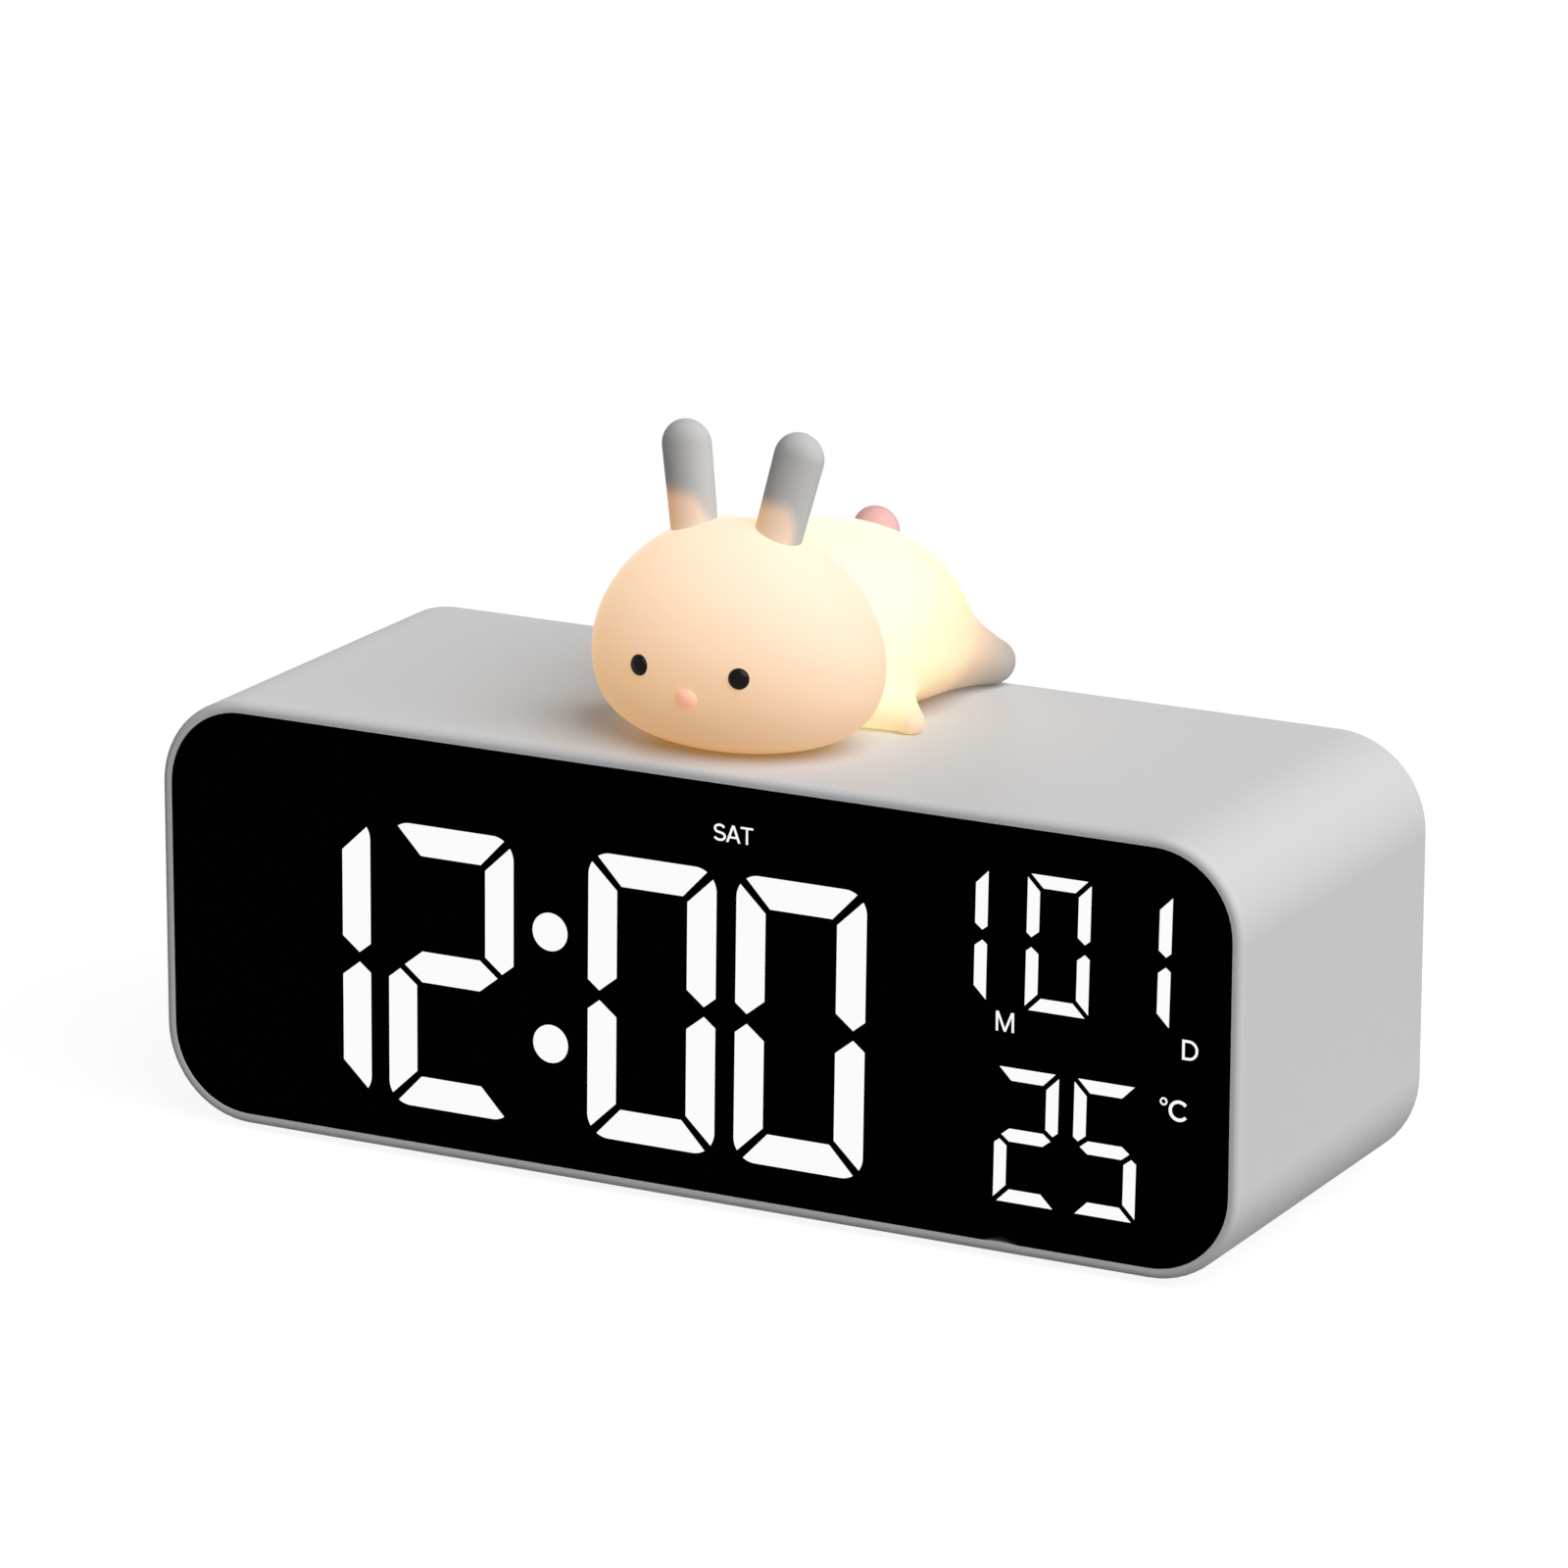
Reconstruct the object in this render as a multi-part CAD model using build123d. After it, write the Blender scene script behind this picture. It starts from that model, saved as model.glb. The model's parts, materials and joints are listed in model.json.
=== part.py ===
# Alarm clock with a seven-segment display, a loudspeaker in the back and a glowing rabbit on top.
# Millimetres. +Z is up, the display faces -Y, the origin is on the table under the middle of the case.
import math
import os

from build123d import *

os.makedirs("parts", exist_ok=True)

# Case
CASE_WIDTH = 180.0
CASE_HEIGHT = 66.6
CASE_DEPTH = 65.7
CASE_CORNER = 14.3
CASE_ROUND = 1.2
CASE_WALL = 2.6
FIT_GAP = 0.1

# Feet
FOOT_PROUD = 1.0
FOOT_SUNK = 0.6
FOOT_RADIUS = 5.0
FOOT_INSET_X = 24.0
FOOT_INSET_Y = 12.0

# Front window
LENS_RIM = 1.76
LENS_THICK = 2.0
LENS_RECESS = 0.15
LENS_LEDGE = 2.5
LEDGE_THICK = 2.0
NOTCH_X = 52.2
NOTCH_WIDTH = 5.4
NOTCH_HEIGHT = 0.8

# Display stack
DIFFUSER_THICK = 0.4
REFLECTOR_DEPTH = 8.0
BOARD_THICK = 1.6
BOARD_MARGIN = 0.7
DISPLAY_BOSS_RADIUS = 2.5
DISPLAY_BOSS_X = (-22.6, 38.4)
LED_WIDTH = 1.3
LED_HEIGHT = 0.8

# Numerals and signs, from the middle of a display drawn for a case of this width and height
DRAWN_WIDTH = 180.0
DRAWN_HEIGHT = 66.6
SEGMENT_GAP = 0.22
TIME_LEFT_EDGES = (-75.0, -50.4, -16.3, 8.4)
TIME_NUMERAL = {"low": -25.4, "wide": 21.5, "high": 43.8, "stroke": 5.0}
DATE_LEFT_EDGES = (39.4, 55.8, 68.6)
DATE_NUMERAL = {"low": 5.0, "wide": 10.2, "high": 19.6, "stroke": 2.1}
HEAT_LEFT_EDGES = (51.0, 63.6)
HEAT_NUMERAL = {"low": -25.0, "wide": 10.2, "high": 20.2, "stroke": 2.1}
COLON_X = -22.7
COLON_LEVELS = (4.9, -12.5)
COLON_RADIUS = 2.95
WEEKDAY_SIGN = {"x": 8.1, "z": 24.2, "wide": 8.0, "high": 3.6}
MONTH_SIGN = {"x": 52.5, "z": 1.9, "wide": 4.6, "high": 3.8}
DAY_SIGN = {"x": 81.0, "z": 1.9, "wide": 3.6, "high": 3.8}
DEGREE_SIGN = {"x": 79.5, "z": -7.1, "wide": 6.0, "high": 4.2}

# Rear cover
COVER_THICK = 2.2
COVER_RECESS = 0.8
COVER_GAP = 0.2
COVER_BOSS_RADIUS = 3.6
COVER_BOSS_LENGTH = 14.0
BOSS_ROOT = 0.6

# Screws
SCREW_RADIUS = 1.0
SCREW_HEAD_RADIUS = 1.9
SCREW_HEAD_HEIGHT = 1.2
COVER_SCREW_LENGTH = 9.0
SHORT_SCREW_LENGTH = 4.6
THREAD_GAP = 0.04

# Main board, buttons and charging socket
MAIN_BOARD_WIDTH = 72.0
MAIN_BOARD_HEIGHT = 44.0
MAIN_BOARD_MARGIN = 11.4
MAIN_BOARD_STAND = 6.7
BOARD_POST_RADIUS = 2.6
BOARD_POST_INSET = 3.4
CHIP_HEIGHT = 1.4
CHIP_X = 14.0
MAIN_CHIP_WIDTH = 10.0
MAIN_CHIP_RAISE = 4.0
SMALL_CHIP_WIDTH = 5.0
SMALL_CHIP_LENGTH = 6.0
POWER_CHIP_DROP = 10.0
SOUND_CHIP_X = 20.0
SOUND_CHIP_DROP = 8.0
BUTTON_PITCH = 13.0
BUTTON_RAISE = 10.0
BUTTON_RADIUS = 3.5
BUTTON_PROUD = 0.7
BUTTON_GAP = 0.2
BUTTON_FLANGE = 0.9
BUTTON_FLANGE_THICK = 1.0
BUTTON_TRAVEL = 0.6
SWITCH_WIDTH = 6.0
SWITCH_HEIGHT = 3.5
PLUNGER_RADIUS = 1.7
SOCKET_DROP = 11.0
SOCKET_WIDTH = 8.94
SOCKET_HEIGHT = 3.26
SOCKET_LENGTH = 7.9
SOCKET_WALL = 0.3
SOCKET_GAP = 0.25
TONGUE_WIDTH = 6.7
TONGUE_THICK = 0.7

# Battery cell
CELL_RADIUS = 9.2
CELL_LENGTH = 65.0
CELL_Y = 0.0
CELL_RAISE = 1.0
CELL_MARGIN = 13.5
SADDLE_THICK = 3.0
SADDLE_SPACING = 40.0

# Loudspeaker
SPEAKER_SHARE = 0.25
SPEAKER_FLANGE = 46.0
SPEAKER_FLANGE_THICK = 1.2
SPEAKER_HOLE_OFFSET = 19.6
SPEAKER_STAND = 2.0
SPEAKER_OPENING = 18.8
SURROUND_SEAT = 1.1
GASKET_WIDTH = 2.3
BASKET_DEPTH = 9.0
BASKET_FLOOR_RADIUS = 13.4
BASKET_WALL = 1.1
SHELF_RAISE = 1.2
SHELF_WIDTH = 1.8
CONE_RIM_RADIUS = 16.2
CONE_THICK = 0.5
CONE_NECK_RAISE = 4.1
CONE_LIP = 1.4
CAP_OVERLAP = 2.0
SURROUND_THICK = 0.4
POLE_RADIUS = 6.0
COIL_GAP = 0.25
FORMER_THICK = 0.2
WINDING_THICK = 0.4
WINDING_RISE = 0.4
WINDING_DROP = 0.6
PLATE_THICK = 2.0
MAGNET_RADIUS = 14.5
MAGNET_THICK = 6.0
MAGNET_CLEAR = 2.4
GRILLE_HOLE_RADIUS = 1.1
GRILLE_PITCH = 3.9
GRILLE_RINGS = 4

# Rabbit, heights measured from the top of the case
SKIN = 2.4
HEAD_Y = -16.0
HEAD_HALF_WIDTH = 23.1
HEAD_HALF_DEPTH = 16.2
HEAD_WIDEST = 13.0
HEAD_TOP = 33.75
BODY_Y = 11.3
BODY_HALF_WIDTH = 23.0
BODY_HALF_DEPTH = 17.0
BODY_WIDEST = 9.4
BODY_TOP = 27.4
BUN_SUNK = 0.6
NECK_Y = -2.6
EAR_X = 6.35
EAR_Y = -17.35
EAR_LEAN_OUT = 11.4
EAR_LEAN_BACK = 10.2
EAR_ROOT_RADIUS = 3.7
EAR_TIP_RADIUS = 3.95
EAR_TOP = 47.5
EYE_X = 8.3
EYE_RAISE = 14.4
EYE_RADIUS = 1.75
EYE_PROUD = 1.1
NOSE_RAISE = 10.6
NOSE_HALF_WIDTH = 1.85
NOSE_HALF_HEIGHT = 1.5
NOSE_PROUD = 1.1
BEAD_SUNK = 1.2
TAIL_RADIUS = 3.8
TAIL_Y = 28.4
TAIL_RAISE = 22.2
HIND_ROOT_RADIUS = 6.4
HIND_TIP_RADIUS = 4.3
PAW_ROOT_RADIUS = 5.4
PAW_TIP_RADIUS = 3.0
ROOT_DEPTH = 0.9
PLUG_RADIUS = 2.4
PLUG_X = 8.0
PLUG_BARB = 0.9
PLUG_BARB_LENGTH = 2.4

# Lamp under the rabbit
LIP_THICK = 1.4
LIP_OPENING = 0.56
LAMP_FLANGE = 1.6
LAMP_BOSS_RADIUS = 2.6
LAMP_BOSS_HEIGHT = 2.4
LAMP_BOSS_X = 8.6
LAMP_BOARD_RADIUS = 5.4
LAMP_BOARD_THICK = 1.2
LAMP_LED_WIDTH = 3.5
LAMP_LED_HEIGHT = 1.4
LAMP_LED_RING = 3.0

# Wires
WIRE_RADIUS = 0.6
WIRE_BEND = 2.0
LEAD_REACH = 5.0
LEAD_INSET = 4.0
SPEAKER_PAD_INSET = 6.0
LAMP_PAD_INSET = 12.0
RIBBON_WIDTH = 12.0
RIBBON_THICK = 0.8
RIBBON_BEND = 5.0
RIBBON_STRAIGHT = 14.0
RIBBON_SHIFT = 4.0
RIBBON_DROP = 2.0
RIBBON_RAISE = 8.0

# Levels that follow from the sizes above
front = -CASE_DEPTH / 2
back = CASE_DEPTH / 2
case_mid = FOOT_PROUD + CASE_HEIGHT / 2
case_top = FOOT_PROUD + CASE_HEIGHT
floor_top = FOOT_PROUD + CASE_WALL
ceiling = case_top - CASE_WALL
lens_front = front + LENS_RECESS
lens_back = lens_front + LENS_THICK
ledge_back = lens_back + LEDGE_THICK
diffuser_back = lens_back + DIFFUSER_THICK
display_front = diffuser_back + REFLECTOR_DEPTH
display_back = display_front + BOARD_THICK
cover_outer = back - COVER_RECESS
cover_inner = cover_outer - COVER_THICK
main_back = cover_inner - MAIN_BOARD_STAND
main_front = main_back - BOARD_THICK
board_right = CASE_WIDTH / 2 - CASE_WALL - MAIN_BOARD_MARGIN
board_left = board_right - MAIN_BOARD_WIDTH
board_x = (board_left + board_right) / 2
cell_end = board_right - CELL_MARGIN
cell_x = cell_end - CELL_LENGTH / 2
speaker_x = -SPEAKER_SHARE * CASE_WIDTH


def at_depth(y):
    """A drawing plane seen from the front: its own two directions run along X and Z."""
    return Plane(origin=(0, y, 0), x_dir=(1, 0, 0), z_dir=(0, -1, 0))


def prism(drawing, y_from, y_to):
    """Carry a drawing made in X and Z from one depth to another."""
    return extrude(at_depth(y_from) * drawing, amount=-(y_to - y_from))


def pin(x, z, radius, y_from, y_to):
    """A round bar along Y."""
    return prism(Pos(x, z) * Circle(radius), y_from, y_to)


def post(x, y, radius, z_from, z_to):
    """A round bar along Z."""
    return Pos(x, y, (z_from + z_to) / 2) * Cylinder(radius, z_to - z_from)


def case_outline(inset):
    """The rounded outline of the case, drawn in by a distance."""
    wide = CASE_WIDTH - 2 * inset
    high = CASE_HEIGHT - 2 * inset
    return Pos(0, case_mid) * RectangleRounded(wide, high, CASE_CORNER - inset)


def turned(points, x, z):
    """A ring turned about an axis along Y, from points given as radius and depth."""
    corners = [(radius, y) for radius, y in points]
    section = make_face(Polyline(*corners, close=True))
    return Pos(x, 0, z) * revolve(section, Axis.Y)


def screw(length):
    """A pan-head cross-recess screw standing on +Z, with the underside of its head at the origin."""
    head = Pos(0, 0, SCREW_HEAD_HEIGHT / 2) * Cylinder(SCREW_HEAD_RADIUS, SCREW_HEAD_HEIGHT)
    head = fillet(head.edges().group_by(Axis.Z)[-1], 0.4 * SCREW_HEAD_HEIGHT)
    slot_wide = 0.5 * SCREW_RADIUS
    slot_long = 1.2 * SCREW_HEAD_RADIUS
    slot_deep = 0.6 * SCREW_HEAD_HEIGHT
    slot = Pos(0, 0, SCREW_HEAD_HEIGHT) * Box(slot_long, slot_wide, 2 * slot_deep)
    shank = Pos(0, 0, -length / 2) * Cylinder(SCREW_RADIUS, length)
    tip = shank.edges().group_by(Axis.Z)[0]
    shank = chamfer(tip, 0.35 * SCREW_RADIUS)
    return head + shank - slot - Rot(0, 0, 90) * slot


def bun_curves(bun, grow):
    """The two cubic curves of a soft bun's half outline, from its foot over its widest level to its top."""
    wide = bun["half_width"] + grow
    low = case_top - BUN_SUNK
    high = case_top + bun["top"] + grow
    level = case_top + bun["widest"]
    sole, hip, shoulder, crown = bun["fullness"]
    lower = [(0, low), (sole * wide, low), (wide, level - hip * (level - low)), (wide, level)]
    upper = [(wide, level), (wide, level + shoulder * (high - level)), (crown * wide, high), (0, high)]
    return lower, upper


def bun_half(bun, grow, z_from):
    """The half outline of a bun above a height, with its axis at the left."""
    lower, upper = bun_curves(bun, grow)
    edge = Bezier(*lower) + Bezier(*upper) + Line(upper[3], lower[0])
    keep = 4 * bun["half_width"]
    return make_face(edge) & Pos(keep / 2, z_from + keep / 2) * Rectangle(keep, keep)


def squeezed(shape, bun):
    """Squeeze a shape made about a bun's own round axis front to back, and set it in its place."""
    ratio = bun["half_depth"] / bun["half_width"]
    squeeze = Matrix([[1, 0, 0, 0], [0, ratio, 0, 0], [0, 0, 1, 0], [0, 0, 0, 1]])
    return Pos(0, bun["y"], 0) * shape.transform_geometry(squeeze)


def unsqueezed(bun, x, y, z):
    """The place, before squeezing, of a point given as it ends up."""
    return Vector(x, (y - bun["y"]) * bun["half_width"] / bun["half_depth"], z)


def bun_reach(bun, grow, z):
    """Half width of a bun at a height, found by halving along its outline."""
    lower, upper = bun_curves(bun, grow)
    p, q, r, s = lower if z < lower[3][1] else upper
    start = 0.0
    end = 1.0
    for _ in range(40):
        share = (start + end) / 2
        rest = 1 - share
        weights = (rest ** 3, 3 * rest ** 2 * share, 3 * rest * share ** 2, share ** 3)
        x = sum(weight * point[0] for weight, point in zip(weights, (p, q, r, s)))
        height = sum(weight * point[1] for weight, point in zip(weights, (p, q, r, s)))
        if height < z:
            start = share
        else:
            end = share
    return x


def bun_field(bun, spot):
    """Below zero inside a round bun, above zero outside it."""
    return math.hypot(spot.X, spot.Y) - bun_reach(bun, 0, spot.Z)


def rooted(root, tip, root_radius, tip_radius, bun):
    """A limb that ends in a flat root inside the skin of a round bun."""
    inside = root
    outside = tip
    for _ in range(40):
        middle = (inside + outside) * 0.5
        if bun_field(bun, middle) < 0:
            inside = middle
        else:
            outside = middle
    outward = Vector(0, 0, 0)
    for way in (Vector(0.01, 0, 0), Vector(0, 0.01, 0), Vector(0, 0, 0.01)):
        outward = outward + way * (bun_field(bun, inside + way) - bun_field(bun, inside - way))
    outward = outward.normalized()
    reach = 2 * bun["half_width"]
    skin = Plane(origin=inside - outward * ROOT_DEPTH, z_dir=outward)
    return limb(root, tip, root_radius, tip_radius) & skin * Pos(0, 0, reach) * Box(reach, reach, 2 * reach)


def limb(root, tip, root_radius, tip_radius):
    """A tapered limb with round ends between two points."""
    reach = (tip - root).length
    lean = math.asin((root_radius - tip_radius) / reach)
    foot_side = (root_radius * math.cos(lean), root_radius * math.sin(lean))
    tip_side = (tip_radius * math.cos(lean), reach + tip_radius * math.sin(lean))
    bottom = (0, -root_radius)
    summit = (0, reach + tip_radius)
    half = math.pi / 4 - lean / 2
    tip_middle = (tip_radius * math.sin(half), reach + tip_radius * math.cos(half))
    half = math.pi / 4 + lean / 2
    root_middle = (root_radius * math.sin(half), -root_radius * math.cos(half))
    edge = ThreePointArc(bottom, root_middle, foot_side) + Line(foot_side, tip_side)
    edge = edge + ThreePointArc(tip_side, tip_middle, summit) + Line(summit, bottom)
    whole = revolve(make_face(Plane.XZ * edge), Axis.Z)
    return Plane(origin=root, z_dir=tip - root) * whole


def mirrored(shape):
    return mirror(shape, about=Plane.YZ)


def seven_segments(wide, high, stroke):
    """The seven mitred bars of one numeral, drawn with its lower left corner at the origin."""
    gap = SEGMENT_GAP * stroke
    miter = gap / math.sqrt(2)
    middle = high / 2
    slope = 0.794
    inner = middle + 0.341 * stroke + 1.276 * gap
    peak = inner - 0.6 * stroke * slope
    side = peak + 0.4 * stroke * slope
    top = [(miter, high), (wide - miter, high)]
    top = top + [(wide - stroke - miter, high - stroke), (stroke + miter, high - stroke)]
    left = [(0, high - miter), (stroke, high - stroke - miter), (stroke, inner)]
    left = left + [(0.4 * stroke, peak), (0, side)]
    bar = [(0.57 * stroke, middle), (1.2 * stroke, middle + stroke / 2)]
    bar = bar + [(wide - 1.2 * stroke, middle + stroke / 2), (wide - 0.57 * stroke, middle)]
    bar = bar + [(wide - 1.2 * stroke, middle - stroke / 2), (1.2 * stroke, middle - stroke / 2)]
    low = [(x, high - z) for x, z in top]
    left_low = [(x, high - z) for x, z in left]
    right = [(wide - x, z) for x, z in left]
    right_low = [(wide - x, high - z) for x, z in left]
    return [top, left, right, bar, left_low, right_low, low]


# The light wells of the display follow the width and height of the case
spread = CASE_WIDTH / DRAWN_WIDTH
rise = CASE_HEIGHT / DRAWN_HEIGHT
numerals = [(left_edge, TIME_NUMERAL) for left_edge in TIME_LEFT_EDGES]
numerals = numerals + [(left_edge, DATE_NUMERAL) for left_edge in DATE_LEFT_EDGES]
numerals = numerals + [(left_edge, HEAT_NUMERAL) for left_edge in HEAT_LEFT_EDGES]
wells = []
for left_edge, numeral in numerals:
    wide = numeral["wide"] * spread
    high = numeral["high"] * rise
    stroke = numeral["stroke"] * min(spread, rise)
    low_edge = case_mid + numeral["low"] * rise
    for bar in seven_segments(wide, high, stroke):
        corners = [(left_edge * spread + x, low_edge + z) for x, z in bar]
        wells.append(make_face(Polyline(*corners, close=True)))
for level in COLON_LEVELS:
    wells.append(Pos(COLON_X * spread, case_mid + level * rise) * Circle(COLON_RADIUS * min(spread, rise)))
for sign in (WEEKDAY_SIGN, MONTH_SIGN, DAY_SIGN, DEGREE_SIGN):
    sign_box = Rectangle(sign["wide"] * spread, sign["high"] * rise)
    wells.append(Pos(sign["x"] * spread, case_mid + sign["z"] * rise) * sign_box)

# Screw positions
corner_reach = (CASE_CORNER - CASE_WALL - COVER_BOSS_RADIUS + BOSS_ROOT) / math.sqrt(2)
boss_x = CASE_WIDTH / 2 - CASE_CORNER + corner_reach
boss_z = CASE_HEIGHT / 2 - CASE_CORNER + corner_reach
cover_points = [(x, case_mid + z) for x in (-boss_x, boss_x) for z in (-boss_z, boss_z)]
display_lift = CASE_HEIGHT / 2 - CASE_WALL - DISPLAY_BOSS_RADIUS + BOSS_ROOT
display_points = [(x * spread, case_mid + z) for x in DISPLAY_BOSS_X for z in (-display_lift, display_lift)]
post_x = MAIN_BOARD_WIDTH / 2 - BOARD_POST_INSET
post_z = MAIN_BOARD_HEIGHT / 2 - BOARD_POST_INSET
board_points = [(board_x + x, case_mid + z) for x in (-post_x, post_x) for z in (-post_z, post_z)]
hole = SPEAKER_HOLE_OFFSET
speaker_points = [(speaker_x + x, case_mid + z) for x in (-hole, hole) for z in (-hole, hole)]
lamp_points = [(-LAMP_BOSS_X, BODY_Y), (LAMP_BOSS_X, BODY_Y)]
plug_points = [(-PLUG_X, HEAD_Y), (PLUG_X, HEAD_Y)]
foot_x = CASE_WIDTH / 2 - FOOT_INSET_X
foot_y = CASE_DEPTH / 2 - FOOT_INSET_Y
button_z = case_mid + BUTTON_RAISE
button_xs = [board_x + step * BUTTON_PITCH for step in (-2, -1, 0, 1, 2)]
socket_z = case_mid - SOCKET_DROP
cell_z = floor_top + CELL_RAISE + CELL_RADIUS
pilot = SCREW_RADIUS + THREAD_GAP

# Main housing: a rounded sleeve with a lens pocket in front and an open back
housing = prism(case_outline(0), front, back)
end_edges = housing.faces().sort_by(Axis.Y)[0].edges() + housing.faces().sort_by(Axis.Y)[-1].edges()
housing = fillet(end_edges, CASE_ROUND)
housing = housing - prism(case_outline(LENS_RIM - FIT_GAP), front - 1, lens_back)
housing = housing - prism(case_outline(LENS_RIM + LENS_LEDGE), lens_back - 1, ledge_back + 1)
housing = housing - prism(case_outline(CASE_WALL), ledge_back, back + 1)
for x, z in cover_points:
    housing = housing + pin(x, z, COVER_BOSS_RADIUS, cover_inner - COVER_BOSS_LENGTH, cover_inner)
for x, z in display_points:
    housing = housing + pin(x, z, DISPLAY_BOSS_RADIUS, ledge_back - 0.5, display_front)
saddle_high = cell_z - floor_top + BOSS_ROOT
for side in (-1, 1):
    saddle = Box(SADDLE_THICK, 2 * CELL_RADIUS + 2 * SADDLE_THICK, saddle_high)
    saddle_x = cell_x + side * SADDLE_SPACING / 2
    housing = housing + Pos(saddle_x, CELL_Y, cell_z - saddle_high / 2) * saddle
cell_space = Pos(cell_x, CELL_Y, cell_z) * Rot(0, 90, 0) * Cylinder(CELL_RADIUS, CELL_LENGTH)
housing = housing - cell_space
for x, z in cover_points:
    housing = housing - pin(x, z, pilot, cover_inner - COVER_SCREW_LENGTH - 1, cover_inner + 1)
for x, z in display_points:
    housing = housing - pin(x, z, pilot, display_front - SHORT_SCREW_LENGTH, display_front + 1)
for x, y in lamp_points:
    housing = housing - post(x, y, SCREW_RADIUS + FIT_GAP, ceiling - 1, case_top + 1)
housing = housing - post(0, BODY_Y, 2 * WIRE_RADIUS + FIT_GAP, ceiling - 1, case_top + 1)
for x, y in plug_points:
    housing = housing - post(x, y, PLUG_RADIUS + FIT_GAP, ceiling - 1, case_top + 1)
for x in (-foot_x, foot_x):
    for y in (-foot_y, foot_y):
        housing = housing - post(x, y, FOOT_RADIUS + FIT_GAP, FOOT_PROUD - 1, FOOT_PROUD + FOOT_SUNK)
export_step(housing, "parts/main_housing.step")

# Rubber feet, each a disc sunk part of its height into the floor of the case
foot_names = {(-1, -1): "front_left_foot", (1, -1): "front_right_foot"}
foot_names.update({(-1, 1): "rear_left_foot", (1, 1): "rear_right_foot"})
for side_x, side_y in foot_names:
    foot = post(side_x * foot_x, side_y * foot_y, FOOT_RADIUS, 0, FOOT_PROUD + FOOT_SUNK)
    foot = fillet(foot.edges().group_by(Axis.Z)[0], 0.4 * FOOT_PROUD)
    export_step(foot, "parts/" + foot_names[(side_x, side_y)] + ".step")

# Display lens, a dark window with a shallow prying notch in its lower edge
lens = prism(case_outline(LENS_RIM), lens_front, lens_back)
lens_foot = FOOT_PROUD + LENS_RIM
notch_radius = NOTCH_WIDTH ** 2 / (8 * NOTCH_HEIGHT) + NOTCH_HEIGHT / 2
notch_centre = lens_foot + NOTCH_HEIGHT - notch_radius
lens = lens - pin(NOTCH_X * spread, notch_centre, notch_radius, lens_front - 1, lens_back + 1)
export_step(lens, "parts/display_lens.step")

# Diffuser sheet and the white reflector block with one light well behind every bar, dot and sign
diffuser = prism(case_outline(LENS_RIM + LENS_LEDGE + FIT_GAP), lens_back, diffuser_back)
export_step(diffuser, "parts/diffuser_sheet.step")
reflector_outline = case_outline(LENS_RIM + LENS_LEDGE + FIT_GAP)
for x, z in display_points:
    reflector_outline = reflector_outline - Pos(x, z) * Circle(DISPLAY_BOSS_RADIUS + COVER_GAP)
for x, z in cover_points:
    reflector_outline = reflector_outline - Pos(x, z) * Circle(COVER_BOSS_RADIUS + COVER_GAP)
for well in wells:
    reflector_outline = reflector_outline - well
reflector = prism(reflector_outline, diffuser_back, display_front)
export_step(reflector, "parts/digit_reflector.step")

# Display board with one light-emitting chip in every well
board_outline = case_outline(CASE_WALL + BOARD_MARGIN)
for x, z in cover_points:
    board_outline = board_outline - Pos(x, z) * Circle(COVER_BOSS_RADIUS + BOARD_MARGIN)
for x, z in display_points:
    board_outline = board_outline - Pos(x, z) * Circle(SCREW_RADIUS + FIT_GAP)
export_step(prism(board_outline, display_front, display_back), "parts/display_board.step")
chips = []
for well in wells:
    spot = well.center()
    chip = Pos(spot.X, spot.Y) * Rectangle(LED_WIDTH, LED_WIDTH)
    chips.append(prism(chip, display_front - LED_HEIGHT, display_front))
export_step(Compound(chips), "parts/segment_leds.step")
short_screw = screw(SHORT_SCREW_LENGTH)
display_screws = [Pos(x, display_back, z) * Rot(-90, 0, 0) * short_screw for x, z in display_points]
export_step(Compound(display_screws), "parts/display_screws.step")

# Rear cover: sound holes, button holes, a socket slot, and posts for the main board and the loudspeaker
cover = prism(case_outline(CASE_WALL + COVER_GAP), cover_inner, cover_outer)
for x, z in board_points:
    cover = cover + pin(x, z, BOARD_POST_RADIUS, main_back, cover_inner + 0.5)
for x, z in speaker_points:
    cover = cover + pin(x, z, SCREW_HEAD_RADIUS, cover_inner - SPEAKER_STAND, cover_inner + 0.5)
screw_seat = cover_outer - 0.5 * COVER_THICK
for x, z in cover_points:
    cover = cover - pin(x, z, SCREW_RADIUS + FIT_GAP, cover_inner - 1, cover_outer + 1)
    cover = cover - pin(x, z, SCREW_HEAD_RADIUS + COVER_GAP, screw_seat, cover_outer + 1)
for x, z in board_points:
    cover = cover - pin(x, z, pilot, main_back - 1, main_back + SHORT_SCREW_LENGTH)
for x, z in speaker_points:
    cover = cover - pin(x, z, pilot, cover_inner - SPEAKER_STAND - 1, cover_inner + 0.6 * COVER_THICK)
for x in button_xs:
    cover = cover - pin(x, button_z, BUTTON_RADIUS + BUTTON_GAP, cover_inner - 1, cover_outer + 1)
slot_wide = SOCKET_WIDTH + 2 * SOCKET_GAP
slot_high = SOCKET_HEIGHT + 2 * SOCKET_GAP
slot = RectangleRounded(slot_wide, slot_high, 0.49 * slot_high)
cover = cover - prism(Pos(board_x, socket_z) * slot, cover_inner - 1, cover_outer + 1)
grille = [Pos(speaker_x, case_mid) * Circle(GRILLE_HOLE_RADIUS)]
for ring in range(1, GRILLE_RINGS + 1):
    for step in range(6 * ring):
        turn = 2 * math.pi * step / (6 * ring)
        x = speaker_x + ring * GRILLE_PITCH * math.cos(turn)
        z = case_mid + ring * GRILLE_PITCH * math.sin(turn)
        grille.append(Pos(x, z) * Circle(GRILLE_HOLE_RADIUS))
cover = cover - [prism(spot, cover_inner - 1, cover_outer + 1) for spot in grille]
export_step(cover, "parts/rear_cover.step")
cover_screw = screw(COVER_SCREW_LENGTH)
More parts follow.
